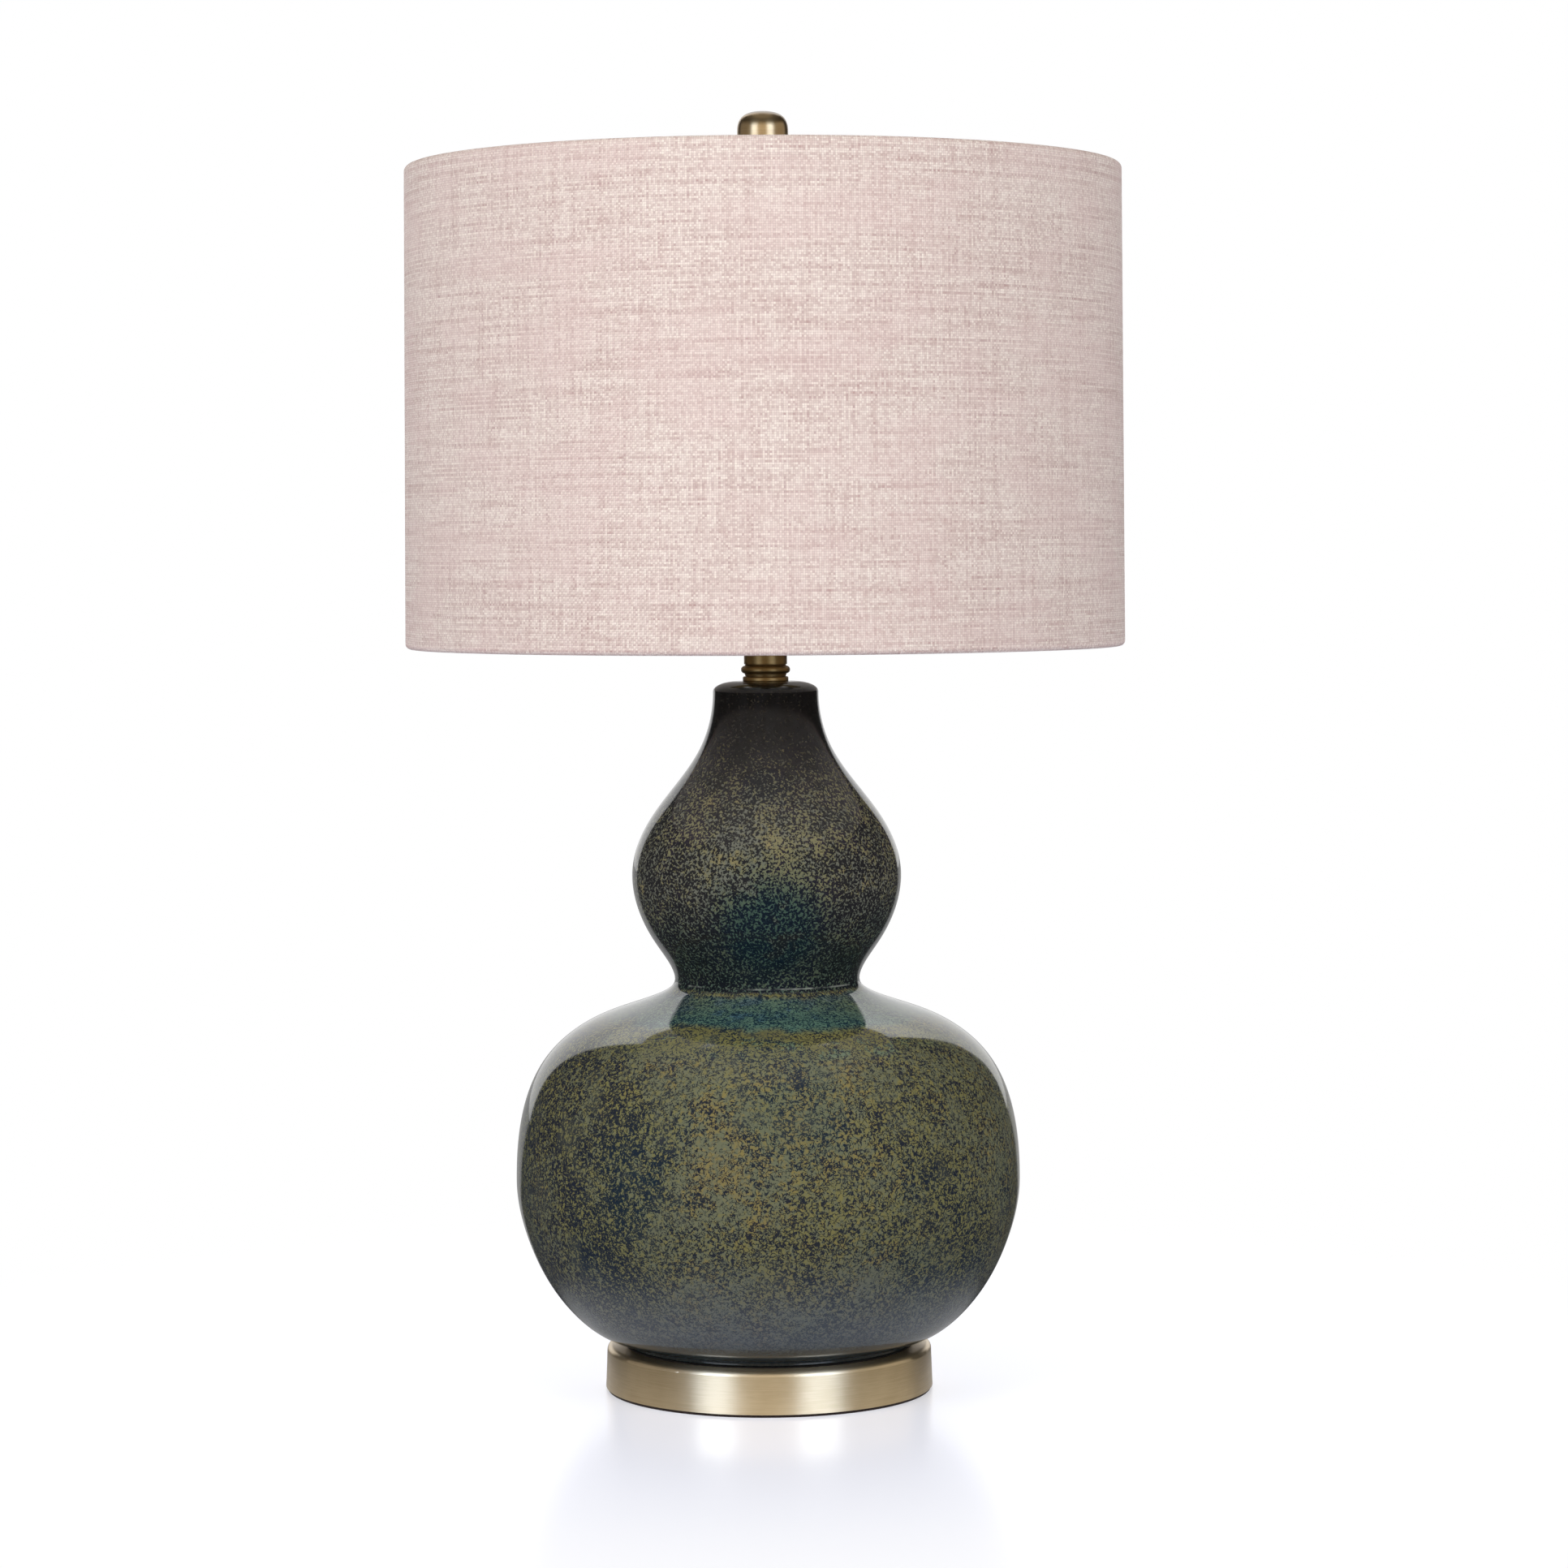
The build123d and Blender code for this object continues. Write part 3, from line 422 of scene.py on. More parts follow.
def glazeFinish(g):
    # an olive ground with crooked dark marks: the lines where one noise crosses its middle, and
    # flecks where another falls under a level that drifts; above the waist one finer noise splits
    # into pale and dark specks; the zones of height have borders that wander
    f = Finish("speckledGlaze")
    x, y, z = f.axes(f.place)
    ink = {name: tone(*value) for name, value in glazeTones.items()}
    wander = f.noise(f.place, 30, 3, 0.6) - 0.5
    broad = f.noise(f.place, 17, 2, 0.5) - 0.5
    cluster = f.noise(f.place, 75, 3, 0.6) - 0.5
    drift = f.noise(f.stretched(f.place, 1, 1, 0.7), 13, 2, 0.5)
    fine = f.noise(f.place, 420, 2, 0.6) - 0.5
    # painted shade: more and thicker dark marks on the left side of the body
    leftShade = f.step(x, -0.125, -0.03, 1.0, 0.0)
    facing = f.step(y, -0.075, -0.035, 1.0, 0.0)
    warm = f.near(g["warm"], 0.015, 0.085)
    pool = f.near(g["pool"], 0.004, 0.056) * f.step(cluster + broad * 0.6, -0.14, 0.14) * 0.75
    navyShare = (f.step(drift, 0.52, 0.66) * 0.5).atLeast(pool)

    height = z + wander * 0.012
    goldBand = band(f, height, *g["gold"]) * facing
    tealBand = band(f, height, *g["teal"]) * (facing * 0.5 + 0.5)
    # painted reflection: towards the foot the glaze pales to a bluish grey, standing in for the white
    # floor mirrored in it
    floorReflection = f.step(z + wander * 0.03, *g["floorReflection"], 1.0, 0.0)
    flecks = f.noise(f.place, g["fleck"], 3, 0.62, 0.7) * 0.8
    flecks = flecks + f.noise(f.place, g["fleck"] * 2.4, 2) * 0.2
    level = 0.438 + broad * 0.06 + cluster * 0.11 + navyShare * 0.03
    level = level + leftShade * 0.026 - goldBand * 0.04 - warm * 0.028
    veins = (f.noise(f.place, g["vein"], 2, 0.65, 0.5) - 0.5).size()
    thick = 0.040 + cluster * 0.09 + broad * 0.05 + leftShade * 0.018 + navyShare * 0.014
    thick = thick.atLeast(0.012)
    cover = f.step(flecks - level, -0.022, 0.022) * f.step(veins, thick * 0.6, thick * 1.4, 0.04, 1.0)
    mottle = f.step(broad * 0.8 + cluster * 0.6 + fine * 1.3, -0.18, 0.18)
    pale = f.mix(mottle, ink["greyGreen"], ink["olive"])
    tanShare = f.step(cluster * 0.8 + fine * 0.9 - broad * 0.5 + warm * 0.10, 0.06, 0.28) * 0.65
    pale = f.mix(tanShare, pale, ink["tan"])
    pale = f.mix(navyShare * 0.5, pale, ink["moss"])
    pale = f.mix(goldBand * 0.75, pale, ink["goldPale"])
    wisps = band(f, height, *g["wisp"]) * facing * f.step(cluster + fine * 0.5, 0.02, 0.12)
    pale = f.mix(wisps * 0.6, pale, ink["tealPale"])
    blue = f.step(height + cluster * 0.03, 0.2065, 0.2125) * f.step(cluster + fine * 0.5, -0.06, 0.08)
    pale = f.mix(tealBand * 0.85, pale, f.mix(blue, ink["tealPale"], ink["tealBlue"]))
    pale = f.mix(floorReflection * 0.70, pale, ink["floorReflectionGrey"])
    dark = f.mix((f.step(drift, 0.50, 0.66) * 0.5).atLeast(pool), ink["navy"], ink["ink"])
    dark = f.mix(tealBand, dark, ink["tealDark"])
    dark = f.mix(floorReflection * 0.40, dark, ink["floorReflectionGrey"])
    lower = f.mix(cover, dark, pale)
    milky = f.step(f.noise(f.place, 42, 2, 0.5), 0.50, 0.68) * 0.22
    lower = f.mix(milky * (1 - floorReflection) * (1 - tealBand) * (1 - pool), lower, ink["milk"])
    # painted shade and dark reflection: darker teal near the foot, under the belly's overhang and over
    # the base's top
    lower = f.mix(f.step(z, *g["foot"], 1.0, 0.0) * 0.8, lower, ink["footShadeTeal"])

    neckShare = f.step(z + wander * 0.024, *g["neck"])
    front = f.step(y + wander * 0.03, -0.070, -0.050, 1.0, 0.0)
    pond = f.near(g["pond"], 0.016, 0.048) * f.step(cluster + broad, -0.32, -0.02)
    heart = f.near(g["heart"], 0.012, 0.060) * front
    deep = (f.step(z + wander * 0.030, *g["waistDark"], 1.0, 0.0) * 0.8).atLeast(pond)
    specks = f.noise(f.place, g["speck"], 2, 0.65, 0.3)
    level = 0.536 + deep * 0.034 + neckShare * 0.11 - heart * 0.050 - cluster * 0.13 - broad * 0.07
    pebble = f.step(specks - level, -0.026, 0.026)
    mottleUp = f.step(fine + cluster + broad + heart * 0.1, -0.12, 0.16)
    paleUp = f.mix(mottleUp, ink["stoneGrey"], ink["stoneOlive"])
    tanUp = f.step(fine * 0.8 + cluster + heart * 0.05, 0.08, 0.34) * 0.6
    paleUp = f.mix(tanUp, paleUp, ink["stoneTan"])
    paleUp = f.mix(deep * 0.90, paleUp, ink["deepPale"])
    paleUp = f.mix(neckShare * 0.9, paleUp, ink["dusk"])
    darkUp = f.mix(f.step(broad + cluster, -0.02, 0.16), ink["charcoal"], ink["plum"])
    darkUp = f.mix(deep * 0.9, darkUp, f.mix(pond * 0.4, ink["deepDark"], ink["ink"]))
    darkUp = f.mix(neckShare, darkUp, ink["umber"])
    streak = f.noise(f.stretched(f.place, 1, 1, 0.10), 180, 3, 0.6)
    darkUp = f.mix(f.step(streak, 0.42, 0.72) * neckShare * 0.6, darkUp, ink["charcoal"])
    upper = f.mix(pebble, darkUp, paleUp)

    colour = f.mix(f.step(z + wander * 0.004, *g["upperStart"]), lower, upper)
    # painted highlight: a pale broken line along the waist's crease, standing in for a thin line of light
    # that the glaze mirrors there
    crease = f.step((z - g["crease"]).size(), 0.0002, 0.0006, 1.0, 0.0) * f.step(cluster, -0.06, 0.12)
    colour = f.mix(crease * 0.6, colour, ink["creaseHighlight"])
    ripple = f.noise(f.place, 38, 1, 0.5) * 0.7 + cover * 0.02
    return f.shader(Base_Color=colour, Roughness=0.05 + crease * 0.2 + neckShare * 0.09, IOR=1.56,
                    Normal=f.bump(ripple, 0.00030, 0.5))


def makeGourd():
    # the double gourd from the table side of its foot ring to its rim, heights from its CAD node
    low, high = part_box("ceramic_body")
    profile = gourdProfile(gourd, low.z / mm, high.z / mm)
    mesh = lathed("gourd_body", profile, gourd["segments"], wrapAlong=True, sharpAbove=50)
    return add(mesh, glazeFinish(glaze), "stand", "glaze", "ceramic_body")


makeGourd()
print("glazed body made")


# Brass

brassTones = {
    # light tone, dark tone, roughness, brushing, anisotropy, lacquer
    "satinBrass": ((228, 203, 160), (212, 186, 142), 0.38, 1.0, 0.8, 0.4),
    "knobBrass": ((180, 150, 102), (156, 127, 84), 0.32, 0.7, 0.4, 0.6),
    # the neck's pieces take a darker copy of the satin brass: painted shade for their place under the
    # lamp shade
    "shadedBrass": ((138, 108, 64), (116, 90, 50), 0.42, 0.6, 0.4, 0.0),
    "socketBrass": ((222, 190, 118), (204, 168, 98), 0.22, 0.6, 0.3, 0.0),
    "harpBrass": ((214, 184, 118), (196, 164, 100), 0.26, 0.6, 0.0, 0.0),
    "contactBrass": ((214, 182, 104), (196, 162, 88), 0.30, 0.8, 0.0, 0.0),
}
darkReflectionTone = (84, 68, 40)
darkReflectionDepths = (4.0, 1.2)     # below the finial's top: where its painted dark reflection starts, and is full


def brassFinish(name, paintedReflection=None):
    # lathe-brushed brass: fine rings round the Z axis in tone, roughness and relief, cloudy in
    # tone; a painted dark reflection may darken it between two heights, and a coat of lacquer lies over
    # it all
    lightTone, darkTone, roughness, brush, anisotropy, lacquer = brassTones[name]
    light, dark = tone(*lightTone), tone(*darkTone)
    f = Finish(name)
    x, y, z = f.axes(f.place)
    fromAxis = (x * x + y * y) ** 0.5
    hair = f.noise(f.spot(fromAxis * 2400, z * 2400, 0.0), 1.0, 3, 0.6)
    shortHair = f.noise(f.stretched(f.place, 70, 70, 1700), 1.0, 3, 0.6)
    cloud = f.noise(f.place, 30, 3, 0.55)
    brushed = (hair + shortHair) * 0.5
    colour = f.mix(f.step(cloud + (brushed - 0.5) * 0.9 * brush, 0.30, 0.72), light, dark)
    # painted reflection: the knob's top darkens to brown, standing in for a dark ceiling that it mirrors
    if paintedReflection:
        reflectionShare = f.step(z + (cloud - 0.5) * 0.002, *paintedReflection) * 0.85
        colour = f.mix(reflectionShare, colour, tone(*darkReflectionTone))
    rough = roughness + (cloud - 0.5) * 0.03 + (brushed - 0.5) * 0.08 * brush
    return f.shader(Base_Color=colour, Metallic=1.0, Roughness=rough, Anisotropic=anisotropy,
                    Anisotropic_Rotation=0.25, Coat_Weight=lacquer, Coat_Roughness=0.22,
                    Normal=f.bump(brushed, 0.00001 * brush, 0.5))


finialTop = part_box("finial")[1].z
satinBrass = brassFinish("satinBrass")
knobBrass = brassFinish("knobBrass", [finialTop - depth * mm for depth in darkReflectionDepths])
shadedBrass = brassFinish("shadedBrass")
socketBrass = brassFinish("socketBrass")
harpBrass = brassFinish("harpBrass")
contactBrass = brassFinish("contactBrass")

turnedBrass = {
    "washer": {"radius": 12.2, "hole": 5.15, "edge": 0.8},
    "bead": {"radius": 13.1, "step": 10.8, "below": 1.6, "round": 4.1, "edge": 0.25},
    "tube": {"radius": 11.5, "hole": 5.15, "wall": 1.2, "closed": 1.5, "edge": 0.5},
    "segments": 160,
}


def makeNeck(sizes):
    # a flat washer, a ring whose side swells in one circle arc, and a tube closed at its top but
    # for the pipe's hole, each a profile turned about the axis between the heights of its node
    washer, bead, tube = sizes["washer"], sizes["bead"], sizes["tube"]
    segments = sizes["segments"]
    low, high = [corner.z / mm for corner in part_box("neck_washer")]
    profile = rounded([
        (washer["hole"], low, 0.2), (washer["radius"], low, 0.4),
        (washer["radius"], high, washer["edge"]), (washer["hole"], high, 0.2)])
    add(lathed("seat_washer", profile, segments, wrapAlong=True), shadedBrass, "stand",
        "satin_brass", "neck_washer")
    low, high = [corner.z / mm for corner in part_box("neck_bead")]
    middle, half = low + bead["below"] + bead["round"] / 2, bead["round"] / 2
    swell = np.linspace(-1, 1, 19)[:, None] * half     # heights over the middle of the bulge
    rise = bead["radius"] - bead["step"]
    arc = (rise * rise + half * half) / (2 * rise)     # radius through both edges and the widest
    bulge = np.hstack([bead["radius"] - arc + np.sqrt(arc**2 - swell**2), middle + swell])
    base = rounded([(washer["hole"], low, 0.2), (bead["step"], low, bead["edge"]),
                    (bead["step"], middle - half, 0)])
    top = rounded([(bead["step"], middle + half, 0), (bead["step"], high, bead["edge"]),
                   (washer["hole"], high, 0.2)])
    profile = np.vstack([base[:-1], bulge, top[1:]])
    add(lathed("bead_ring", profile, segments, wrapAlong=True), shadedBrass, "stand",
        "satin_brass", "neck_bead")
    low, high = [corner.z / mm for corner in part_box("neck_tube")]
    inside = tube["radius"] - tube["wall"]
    profile = rounded([
        (inside, low, 0.2), (tube["radius"], low, 0.3), (tube["radius"], high, tube["edge"]),
        (tube["hole"], high, 0.2), (tube["hole"], high - tube["closed"], 0.2),
        (inside, high - tube["closed"], 0.6)])
    add(lathed("neck_sleeve", profile, segments, wrapAlong=True), shadedBrass, "stand",
        "satin_brass", "neck_tube")


finialSizes = {
    "collar": 7.5, "collarHeight": 2.6, "stem": 5.2, "stemStart": 5.0, "stemEnd": 12.0,
    "knob": 13.6, "knobStart": 19.0, "dome": 10.6, "sideFull": 0.80, "topFull": 0.60, "under": 3.0,
    "bore": 3.18, "boreDepth": 15.0, "segments": 192, "domeSteps": 40, "roundSteps": 8,
}


def makeFinial(s):
    # collar, hollow stem and knob with softened corners; the dome is one cubic with its handles
    # level at the top and upright at the knob's side
    low, high = [corner.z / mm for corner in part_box("finial")]
    side = high - s["dome"]
    t = np.linspace(0, 1, s["domeSteps"])[:, None]
    handles = np.array([(s["knob"], side), (s["knob"], side + s["dome"] * s["sideFull"]),
                        (s["knob"] * s["topFull"], high), (0, high)])
    dome = ((1 - t)**3 * handles[0] + 3 * (1 - t)**2 * t * handles[1]
            + 3 * (1 - t) * t**2 * handles[2] + t**3 * handles[3])
    lower = rounded([
        (0, low + s["boreDepth"], 0), (s["bore"], low + s["boreDepth"], 0),
        (s["bore"], low, 0.3), (s["collar"], low, 0.4),
        (s["collar"], low + s["collarHeight"], 0.7), (s["stem"], low + s["stemStart"], 1.2),
        (s["stem"], low + s["stemEnd"], 2.0), (s["knob"], low + s["knobStart"], s["under"]),
        (s["knob"], side, 0)], s["roundSteps"])
    mesh = lathed("finial_knob", np.vstack([lower[:-1], dome]), s["segments"])
    add(mesh, knobBrass, "finial", "satin_brass", "finial")


makeNeck(turnedBrass)
makeFinial(finialSizes)
dress(satinBrass, "base_cover")
dress(socketBrass, "socket_cap", "socket_shell")
dress(harpBrass, "harp_saddle", "harp_legs", "harp_top_plate", "ferrule_left", "ferrule_right",
      "finial_stud")
dress(contactBrass, "centre_contact", "terminal_screws", "switch_stem")
print("brass made")


# Shade

shadeSizes = {
    "radius": 191.3, "taper": 1.6, "fabric": 0.6, "liner": 0.5, "wire": 1.6,
    "tuck": 2.05, "tuckGap": 0.02,     # the hem's end: outward of its ring, and off the roll's edge
    "lap": 12.0, "lapRise": 0.48, "lapEase": 0.8,
    "outerSkin": 0.2,     # the lap is gone this far inside the outer face
    "segments": 600, "rollSteps": 19, "wallSteps": 40,
}


def shadeProfile(s, low, high):
    # up the outer face, round the top ring to the hem's end, back round the ring one fabric
    # thickness in, down the inner face and round the low ring in the same way
    roll = s["wire"] + s["liner"] + s["fabric"]
    inner = roll - s["fabric"]
    topRing, lowRing = s["radius"] - s["taper"] - roll, s["radius"] - roll
    outward = np.linspace(0, 1.5 * math.pi, s["rollSteps"])[:, None]
    topRoll = np.hstack([np.cos(outward), np.sin(outward)])
    lowRoll = topRoll * (1, -1)
    topAt, lowAt = np.array((topRing, high - roll)), np.array((lowRing, low + roll))
    tuckTop = (topAt + (s["tuck"], -roll + s["tuckGap"]))[None]
    tuckLow = (lowAt + (s["tuck"], roll - s["tuckGap"]))[None]
    skin = [lowAt + lowRoll[:1] * roll,
            topAt + topRoll * roll, tuckTop, tuckTop + (0, s["fabric"]), (topAt + topRoll * inner)[::-1],
            lowAt + lowRoll * inner, tuckLow - (0, s["fabric"]), tuckLow, (lowAt + lowRoll * roll)[:0:-1]]
    wall = np.linspace(0, 1, s["wallSteps"])[1:-1, None]
    outerWall = skin[0] + (skin[1][:1] - skin[0]) * wall
    innerWall = skin[4][-1:] + (skin[5][:1] - skin[4][-1:]) * wall
    return np.vstack([skin[0], outerWall, *skin[1:5], innerWall, *skin[5:]])


linen = {
    "thread": 1.15, "lightThread": (249, 237, 225), "darkThread": (190, 155, 148),
    "patch": (230, 204, 197), "hollow": (160, 132, 125),
}


def linenFinish(weave):
    # plain weave of pale threads: even and odd crossings show the warp or the weft, every thread
    # has a tone of its own that changes along it, broad patches are a little pinker, and the
    # hollows between the threads are darkened with painted shade
    f = Finish("linen")
    u, v = f.axes(f.uv())[:2]
    across, up = u / (weave["thread"] * mm), v / (weave["thread"] * mm)
    waver = f.noise(f.spot(u, v), 90, 1) * 0.25
    across, up = across + waver, up + waver
    warpId, weftId = across.floor(), up.floor()
    onWeft = ((warpId + weftId) / 2).fraction() * 2
    warpRound = (across.fraction() * math.pi).sine()
    weftRound = (up.fraction() * math.pi).sine()
    warpTone = f.lot(f.spot(warpId, 3.0)) * 0.20
    warpTone = warpTone + f.noise(f.spot(warpId * 3.7, v * 22), 1.0, 1, 0.5)
    slub = f.lot(f.spot(5.0, weftId)) * 0.20
    slub = slub + f.noise(f.spot(u * 18, weftId * 5.3), 1.0, 1, 0.5)
    fleck = f.lot(f.spot(warpId, weftId, 7.0))
    warpShade = f.step(warpTone, 0.26, 0.76) * 0.50 + fleck * 0.50
    weftShade = f.step(slub, 0.26, 0.76) * 0.60 + fleck * 0.40
    threadShade = warpShade + (weftShade - warpShade) * (onWeft * 0.50 + 0.30)
    colour = f.mix(threadShade, tone(*weave["darkThread"]), tone(*weave["lightThread"]))
    patch = f.noise(f.spot(u * 0.6, v), 30, 2, 0.6)
    colour = f.mix(f.step(patch, 0.44, 0.62) * 0.30, colour, tone(*weave["patch"]))
    hollow = warpRound * (1 - onWeft) + weftRound * onWeft
    # painted shade in the hollows between the threads
    colour = f.mix(f.step(hollow, 0.05, 0.75, 0.42, 0.0), colour, tone(*weave["hollow"]))
    relief = hollow + slub * 0.5
    return f.shader(Base_Color=colour, Roughness=0.92, Specular_IOR_Level=0.2, Sheen_Weight=0.1,
                    Sheen_Roughness=0.5, Normal=f.bump(relief, 0.00022, 0.8))


def makeShade(s):
    # the closed profile turned about the axis; at the back the outer face stands out by the lap,
    # which rises and falls as a tanh of the length from its middle; the UV map is in metres
    low, high = [corner.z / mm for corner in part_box("shade_fabric")]
    profile = shadeProfile(s, low, high)
    segments = s["segments"]
    angle = np.linspace(0, fullTurn, segments, endpoint=False)
    radius, height = profile.T
    backward = (angle - math.pi / 2) * s["radius"]        # length from the lap at the back
    ease = s["lapEase"]
    rise = 0.5 + 0.5 * np.tanh((s["lap"] / 2 - np.abs(backward)) / (ease / 2))
    faceRadius = np.interp(height, [low, high], [s["radius"], s["radius"] - s["taper"]])
    outer = np.clip((radius - faceRadius + s["outerSkin"]) / s["outerSkin"], 0, 1)
    grown = (radius[None, :] + s["lapRise"] * rise[:, None] * outer[None, :]) * mm
    points = np.stack([grown * np.cos(angle)[:, None], grown * np.sin(angle)[:, None],
                       np.broadcast_to(height * mm, grown.shape)], -1)
    steps = np.linalg.norm(np.diff(np.vstack([profile, profile[:1]]), axis=0), axis=1)
    lengths = np.concatenate([[0], np.cumsum(steps)]) * mm
    around = np.linspace(0, fullTurn, segments + 1) * s["radius"] * mm
    mesh = surface("shade_linen", points, uv=(around, lengths), wrapAlong=True, sharpAbove=60)
    piece = add(mesh, linenFinish(linen), "shade", "linen", "shade_fabric")


def plainFinish(name, light, dark, roughness, grain=300, relief=0.00003, **more):
    # moulded or painted surface: slightly cloudy, with a fine grain
    f = Finish(name)
    cloud = f.noise(f.place, 60, 4, 0.6)
    fine = f.noise(f.place, grain * 4, 2, 0.6)
    colour = f.mix(f.step(cloud, 0.3, 0.7), light, dark)
    rough = roughness + (cloud - 0.5) * 0.15
    return f.shader(Base_Color=colour, Roughness=rough, Normal=f.bump(fine, relief, 0.5), **more)


makeShade(shadeSizes)
dress(plainFinish("linerSheet", tone(240, 236, 228), tone(230, 224, 214), 0.55), "shade_liner")
dress(plainFinish("whiteWire", tone(236, 234, 228), tone(222, 219, 212), 0.35), "shade_top_ring",
      "shade_bottom_ring", "spider_arms", "spider_hub")
print("shade made")


# Small parts

def feltFinish():
    # short crossing fibres: three stretched noises, fuzzy and dull
    f = Finish("felt")
    first = f.noise(f.stretched(f.place, 2400, 300, 900), 1.0, 2, 0.6)
    second = f.noise(f.stretched(f.place, 300, 2400, 900), 1.0, 2, 0.6)
    fibre = (first + second) * 0.5
    colour = f.mix(f.step(fibre, 0.35, 0.65), tone(34, 26, 26), tone(58, 46, 44))
    return f.shader(Base_Color=colour, Roughness=0.95, Sheen_Weight=0.2,
                    Normal=f.bump(fibre, 0.0002, 0.7))


def steelFinish(name, light, dark, roughness):
    # zinc or tin plate: soft spangle cells and rubbed patches
    f = Finish(name)
    spangle = f.cells(f.place, 320)
    cloud = f.noise(f.place, 90, 4, 0.6)
    colour = f.mix(f.step(cloud, 0.3, 0.7), light, dark)
    rough = roughness + spangle * 0.12 + (cloud - 0.5) * 0.1
    return f.shader(Base_Color=colour, Metallic=1.0, Roughness=rough,
                    Normal=f.bump(spangle, 0.00002, 0.4))


def bulbFinish():
    # frosted envelope: milky, thin enough to let the light in
    f = Finish("frostedGlass")
    frost = f.noise(f.place, 900, 2, 0.6)
    return f.shader(Base_Color=f.mix(frost, tone(244, 243, 240), tone(252, 251, 248)),
                    Roughness=0.22 + frost * 0.1, Specular_IOR_Level=0.5,
                    Subsurface_Weight=0.3, Normal=f.bump(frost, 0.00001, 0.4))


dress(feltFinish(), "base_pad")
dress(plainFinish("gasketRubber", tone(26, 24, 24), tone(38, 34, 32), 0.75), "foot_gasket")
dress(plainFinish("blackPlastic", tone(20, 20, 21), tone(34, 34, 35), 0.42), "cord_bushing")
dress(plainFinish("phenolic", tone(24, 18, 16), tone(44, 34, 28), 0.32), "socket_interior", "switch_knob")
dress(plainFinish("blackGlass", tone(12, 12, 14), tone(24, 24, 28), 0.12), "bulb_insulator")
dress(plainFinish("fibreSleeve", tone(86, 74, 62), tone(112, 98, 82), 0.8), "socket_sleeve")
dress(steelFinish("zincSteel", tone(188, 190, 192), tone(158, 160, 164), 0.32), "base_washer",
      "lock_washer", "base_nut", "threaded_rod", "cap_set_screw")
dress(steelFinish("tinnedMetal", tone(206, 206, 204), tone(178, 178, 176), 0.24), "screw_shell",
      "bulb_cap", "bulb_contact")
dress(bulbFinish(), "bulb_glass")
print("small parts dressed")


# Floor, light and camera

studio = {
    "panelLeft": -33.5, "panelRight": 27.0, "panelEdge": 0.7,     # bright wall behind, in degrees
    # brightness of the wall and its upper part, of the floor in mirrors, and of the other sides
    "panel": 1.0, "panelTop": 1.65, "paper": 0.42, "sides": 0.03, "front": 0.05, "top": 0.13,
    "zenith": 0.36, "ambient": 0.27, "lift": 0.39,
    "floorTone": (0.73, 0.745, 0.875, 1), "floorRadii": (0, 0.3, 1.0, 3.0, 9.0), "floorSpokes": 96,
    "paperEdge": 0.03,     # softness of the paper's sides in mirrors, in radians
}


def makeFloor(s):
    # plain disc of floor: white where nothing shades it, faded into the white round about; in a
    # mirror its paper ends a little in front of the lamp and is as wide behind it as the bright wall
    f = Finish("paleFloor")
    x, y = f.axes(f.place)[:2]
    away = (x * x + y * y) ** 0.5
    glossy = f.ray("Glossy")
    straight = (f.ray("Camera") + glossy + f.ray("Transmission")).atMost(1.0)
    body = f.node("ShaderNodeBsdfPrincipled", None, {
        "Base Color": s["floorTone"], "Roughness": 0.20, "Specular IOR Level": 0.25})
    lifted = f.node("ShaderNodeAddShader", None, [body, f.glow(s["lift"])])
    lit = f.blendShaders(straight, body, lifted)
    plain = f.blendShaders(f.step(away, 0.16, 0.60) * straight, lit, f.glow(1.0))
    left, right, edge = math.radians(s["panelLeft"]), math.radians(s["panelRight"]), s["paperEdge"]
    wedge = x.angleTo(y)
    behind = band(f, wedge, left - edge, left + edge, right - edge, right + edge)
    paper = behind.atLeast(f.step(away, 0.12, 0.22, 1.0, 0.0))
    mirrored = f.blendShaders(paper, f.glow(s["front"]), f.glow(s["paper"]))
    angle = np.linspace(0, fullTurn, s["floorSpokes"], endpoint=False)[:, None]
    radius = np.array(s["floorRadii"])
    flat = np.zeros((len(angle), len(radius)))
    points = np.stack([radius * np.cos(angle), radius * np.sin(angle), flat], -1)[:, ::-1]
    mesh = surface("floor", points)
    floor = bpy.data.objects.new("floor", mesh)
    bpy.context.scene.collection.objects.link(floor)
    mesh.materials.append(f.show(f.blendShaders(glossy, plain, mirrored)))


def makeWorld(s):
    # studio surroundings by direction: a bright wall behind, dim elsewhere; matt surfaces get an
    # even ambient, and whatever looks past the floor sees white
    world = bpy.data.worlds.new("studio")
    bpy.context.scene.world = world
    f = Finish("studio", world)
    x, y, z = f.axes(f.place)
    azimuth = x.angleTo(y)
    left, right, edge = [math.radians(s[key]) for key in ("panelLeft", "panelRight", "panelEdge")]
    wall = band(f, azimuth, left - edge, left + edge, right - edge, right + edge)
    wall = wall * f.step(z, -0.6, -0.3) * f.step(z, 0.88, 0.92, 1.0, 0.0)
    dim = f.blendShaders(f.step(y, -0.5, 0.3), f.sky(s["front"]), f.sky(s["sides"]))
    dim = f.blendShaders(f.step(z, 0.6, 0.85), dim, f.sky(s["top"]))
    dim = f.blendShaders(f.step(z, 0.87, 0.92), dim, f.sky(s["zenith"]))
    bright = f.blendShaders(f.step(z, 0.42, 0.64), f.sky(s["panel"]), f.sky(s["panelTop"]))
    shown = f.blendShaders(wall, dim, bright)
    shown = f.blendShaders(f.ray("Diffuse"), shown, f.sky(s["ambient"]))
    f.show(f.blendShaders(f.ray("Camera"), shown, f.sky(1.0)))


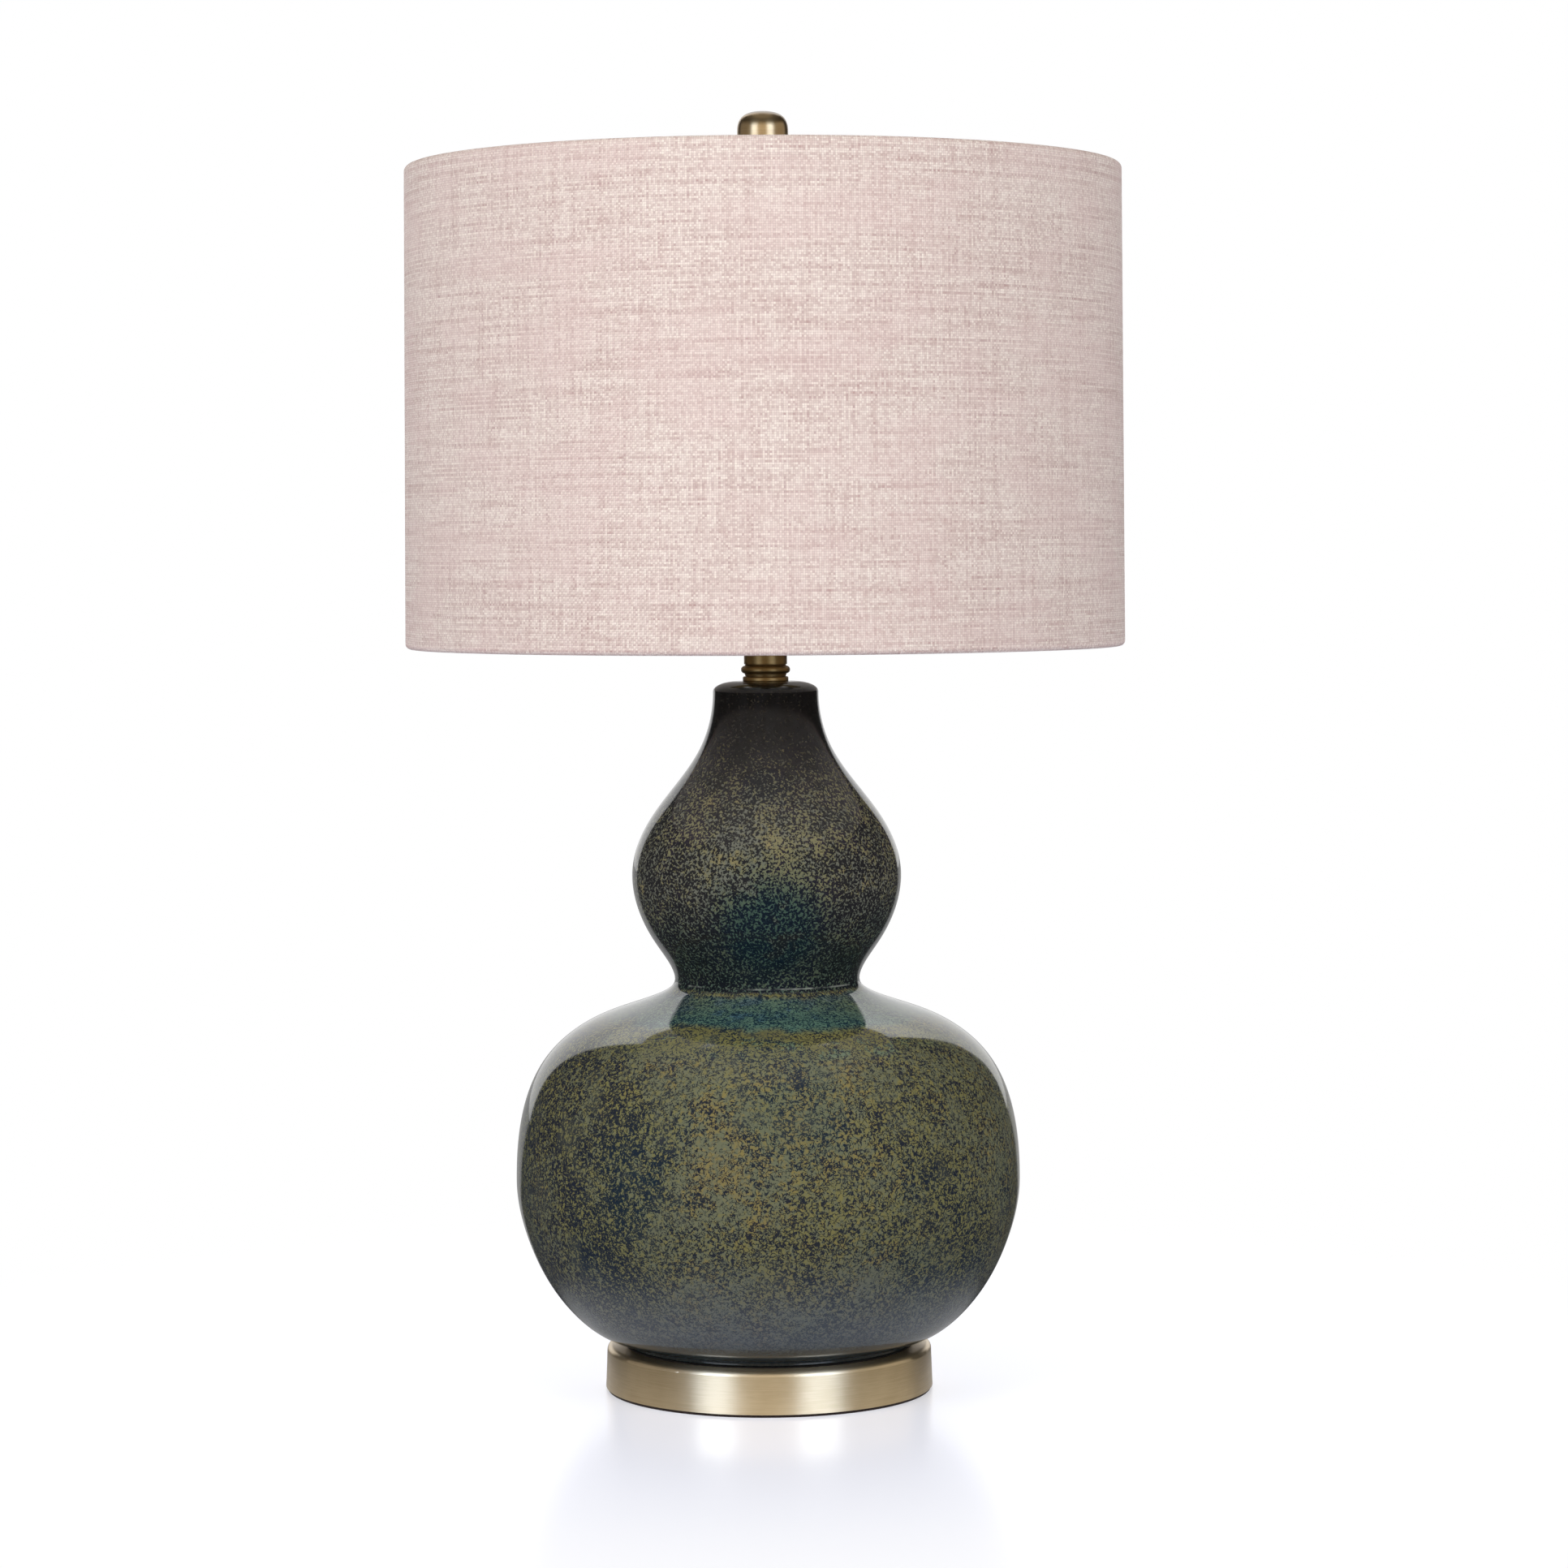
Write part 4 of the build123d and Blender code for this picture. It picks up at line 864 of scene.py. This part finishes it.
lights = [
    # name, azimuth from the camera's side, height, distance, width, tallness, watts, tint, and
    # whether only the metal sees it
    ("key_left", -44, 1.15, 2.1, 1.1, 1.3, 28.0, (1, 1, 1), False),
    ("key_right", 40, 1.15, 2.1, 1.1, 1.3, 24.0, (1, 1, 1), False),
    ("key_back", 180, 1.15, 2.4, 2.0, 1.3, 16.0, (1, 1, 1), False),
    ("strip_left", -38, 0.7, 1.5, 0.72, 1.4, 16.8, (0.43, 0.60, 1), True),
    ("strip_right", 36, 0.7, 1.5, 0.76, 1.4, 20.2, (0.43, 0.60, 1), True),
    ("fill_front", 0, 0.9, 2.2, 5.0, 1.8, 31.5, (1, 0.97, 0.93), True),
    ("fill_left", -85, 0.9, 2.2, 3.0, 1.8, 5.6, (1, 0.97, 0.97), True),
    ("fill_right", 85, 0.9, 2.2, 3.0, 1.8, 10, (1, 0.97, 0.90), True),
]


metals = {*brassTones, "zincSteel", "tinnedMetal"}
keyAimDrop = 0.3     # the keys look at a place this far under their own height


def makeLights(metalPieces):
    # soft keys that no gloss mirrors, and strips and fills that only the metal sees
    receivers = bpy.data.collections.new("metal_pieces")
    for piece in metalPieces:
        receivers.objects.link(piece)
    for name, azimuth, height, distance, width, tall, power, tint, forMetal in lights:
        data = bpy.data.lights.new(name, "AREA")
        data.shape = "RECTANGLE"
        data.size, data.size_y, data.energy, data.color = width, tall, power, tint
        lamp = bpy.data.objects.new(name, data)
        bpy.context.scene.collection.objects.link(lamp)
        swing = math.radians(azimuth)
        lamp.location = (math.sin(swing) * distance, -math.cos(swing) * distance, height)
        aim = lamp.location.copy()
        aim.z -= height if forMetal else keyAimDrop
        lamp.rotation_euler = aim.to_track_quat("Z", "Y").to_euler()
        lamp.visible_camera = False
        lamp.visible_glossy = forMetal
        lamp.visible_diffuse = not forMetal
        if forMetal:
            lamp.light_linking.receiver_collection = receivers


camera = {
    "focal": 100.42, "sensor": 36.0, "x": 0.0102, "y": -2.3337, "z": 0.45337,
    "down": 0.0552, "roll": 0.3,     # radians, degrees
}


def makeCamera(c):
    # the photo's view: from in front and a little over the lamp's middle, looking slightly down
    data = bpy.data.cameras.new("photo_view")
    data.lens, data.sensor_width, data.sensor_fit = c["focal"], c["sensor"], "AUTO"
    data.clip_start, data.clip_end = 0.05, 50
    view = bpy.data.objects.new("photo_view", data)
    bpy.context.scene.collection.objects.link(view)
    view.location = (c["x"], c["y"], c["z"])
    view.rotation_euler = (math.pi / 2 - c["down"], math.radians(c["roll"]), 0)
    bpy.context.scene.camera = view


makeFloor(studio)
makeWorld(studio)
makeLights([piece for piece in bpy.context.scene.objects if piece.type == "MESH"
            and piece.material_slots and piece.material_slots[0].material.name in metals])
makeCamera(camera)
bpy.context.scene.view_settings.view_transform = "Standard"
print("floor, light and camera set")
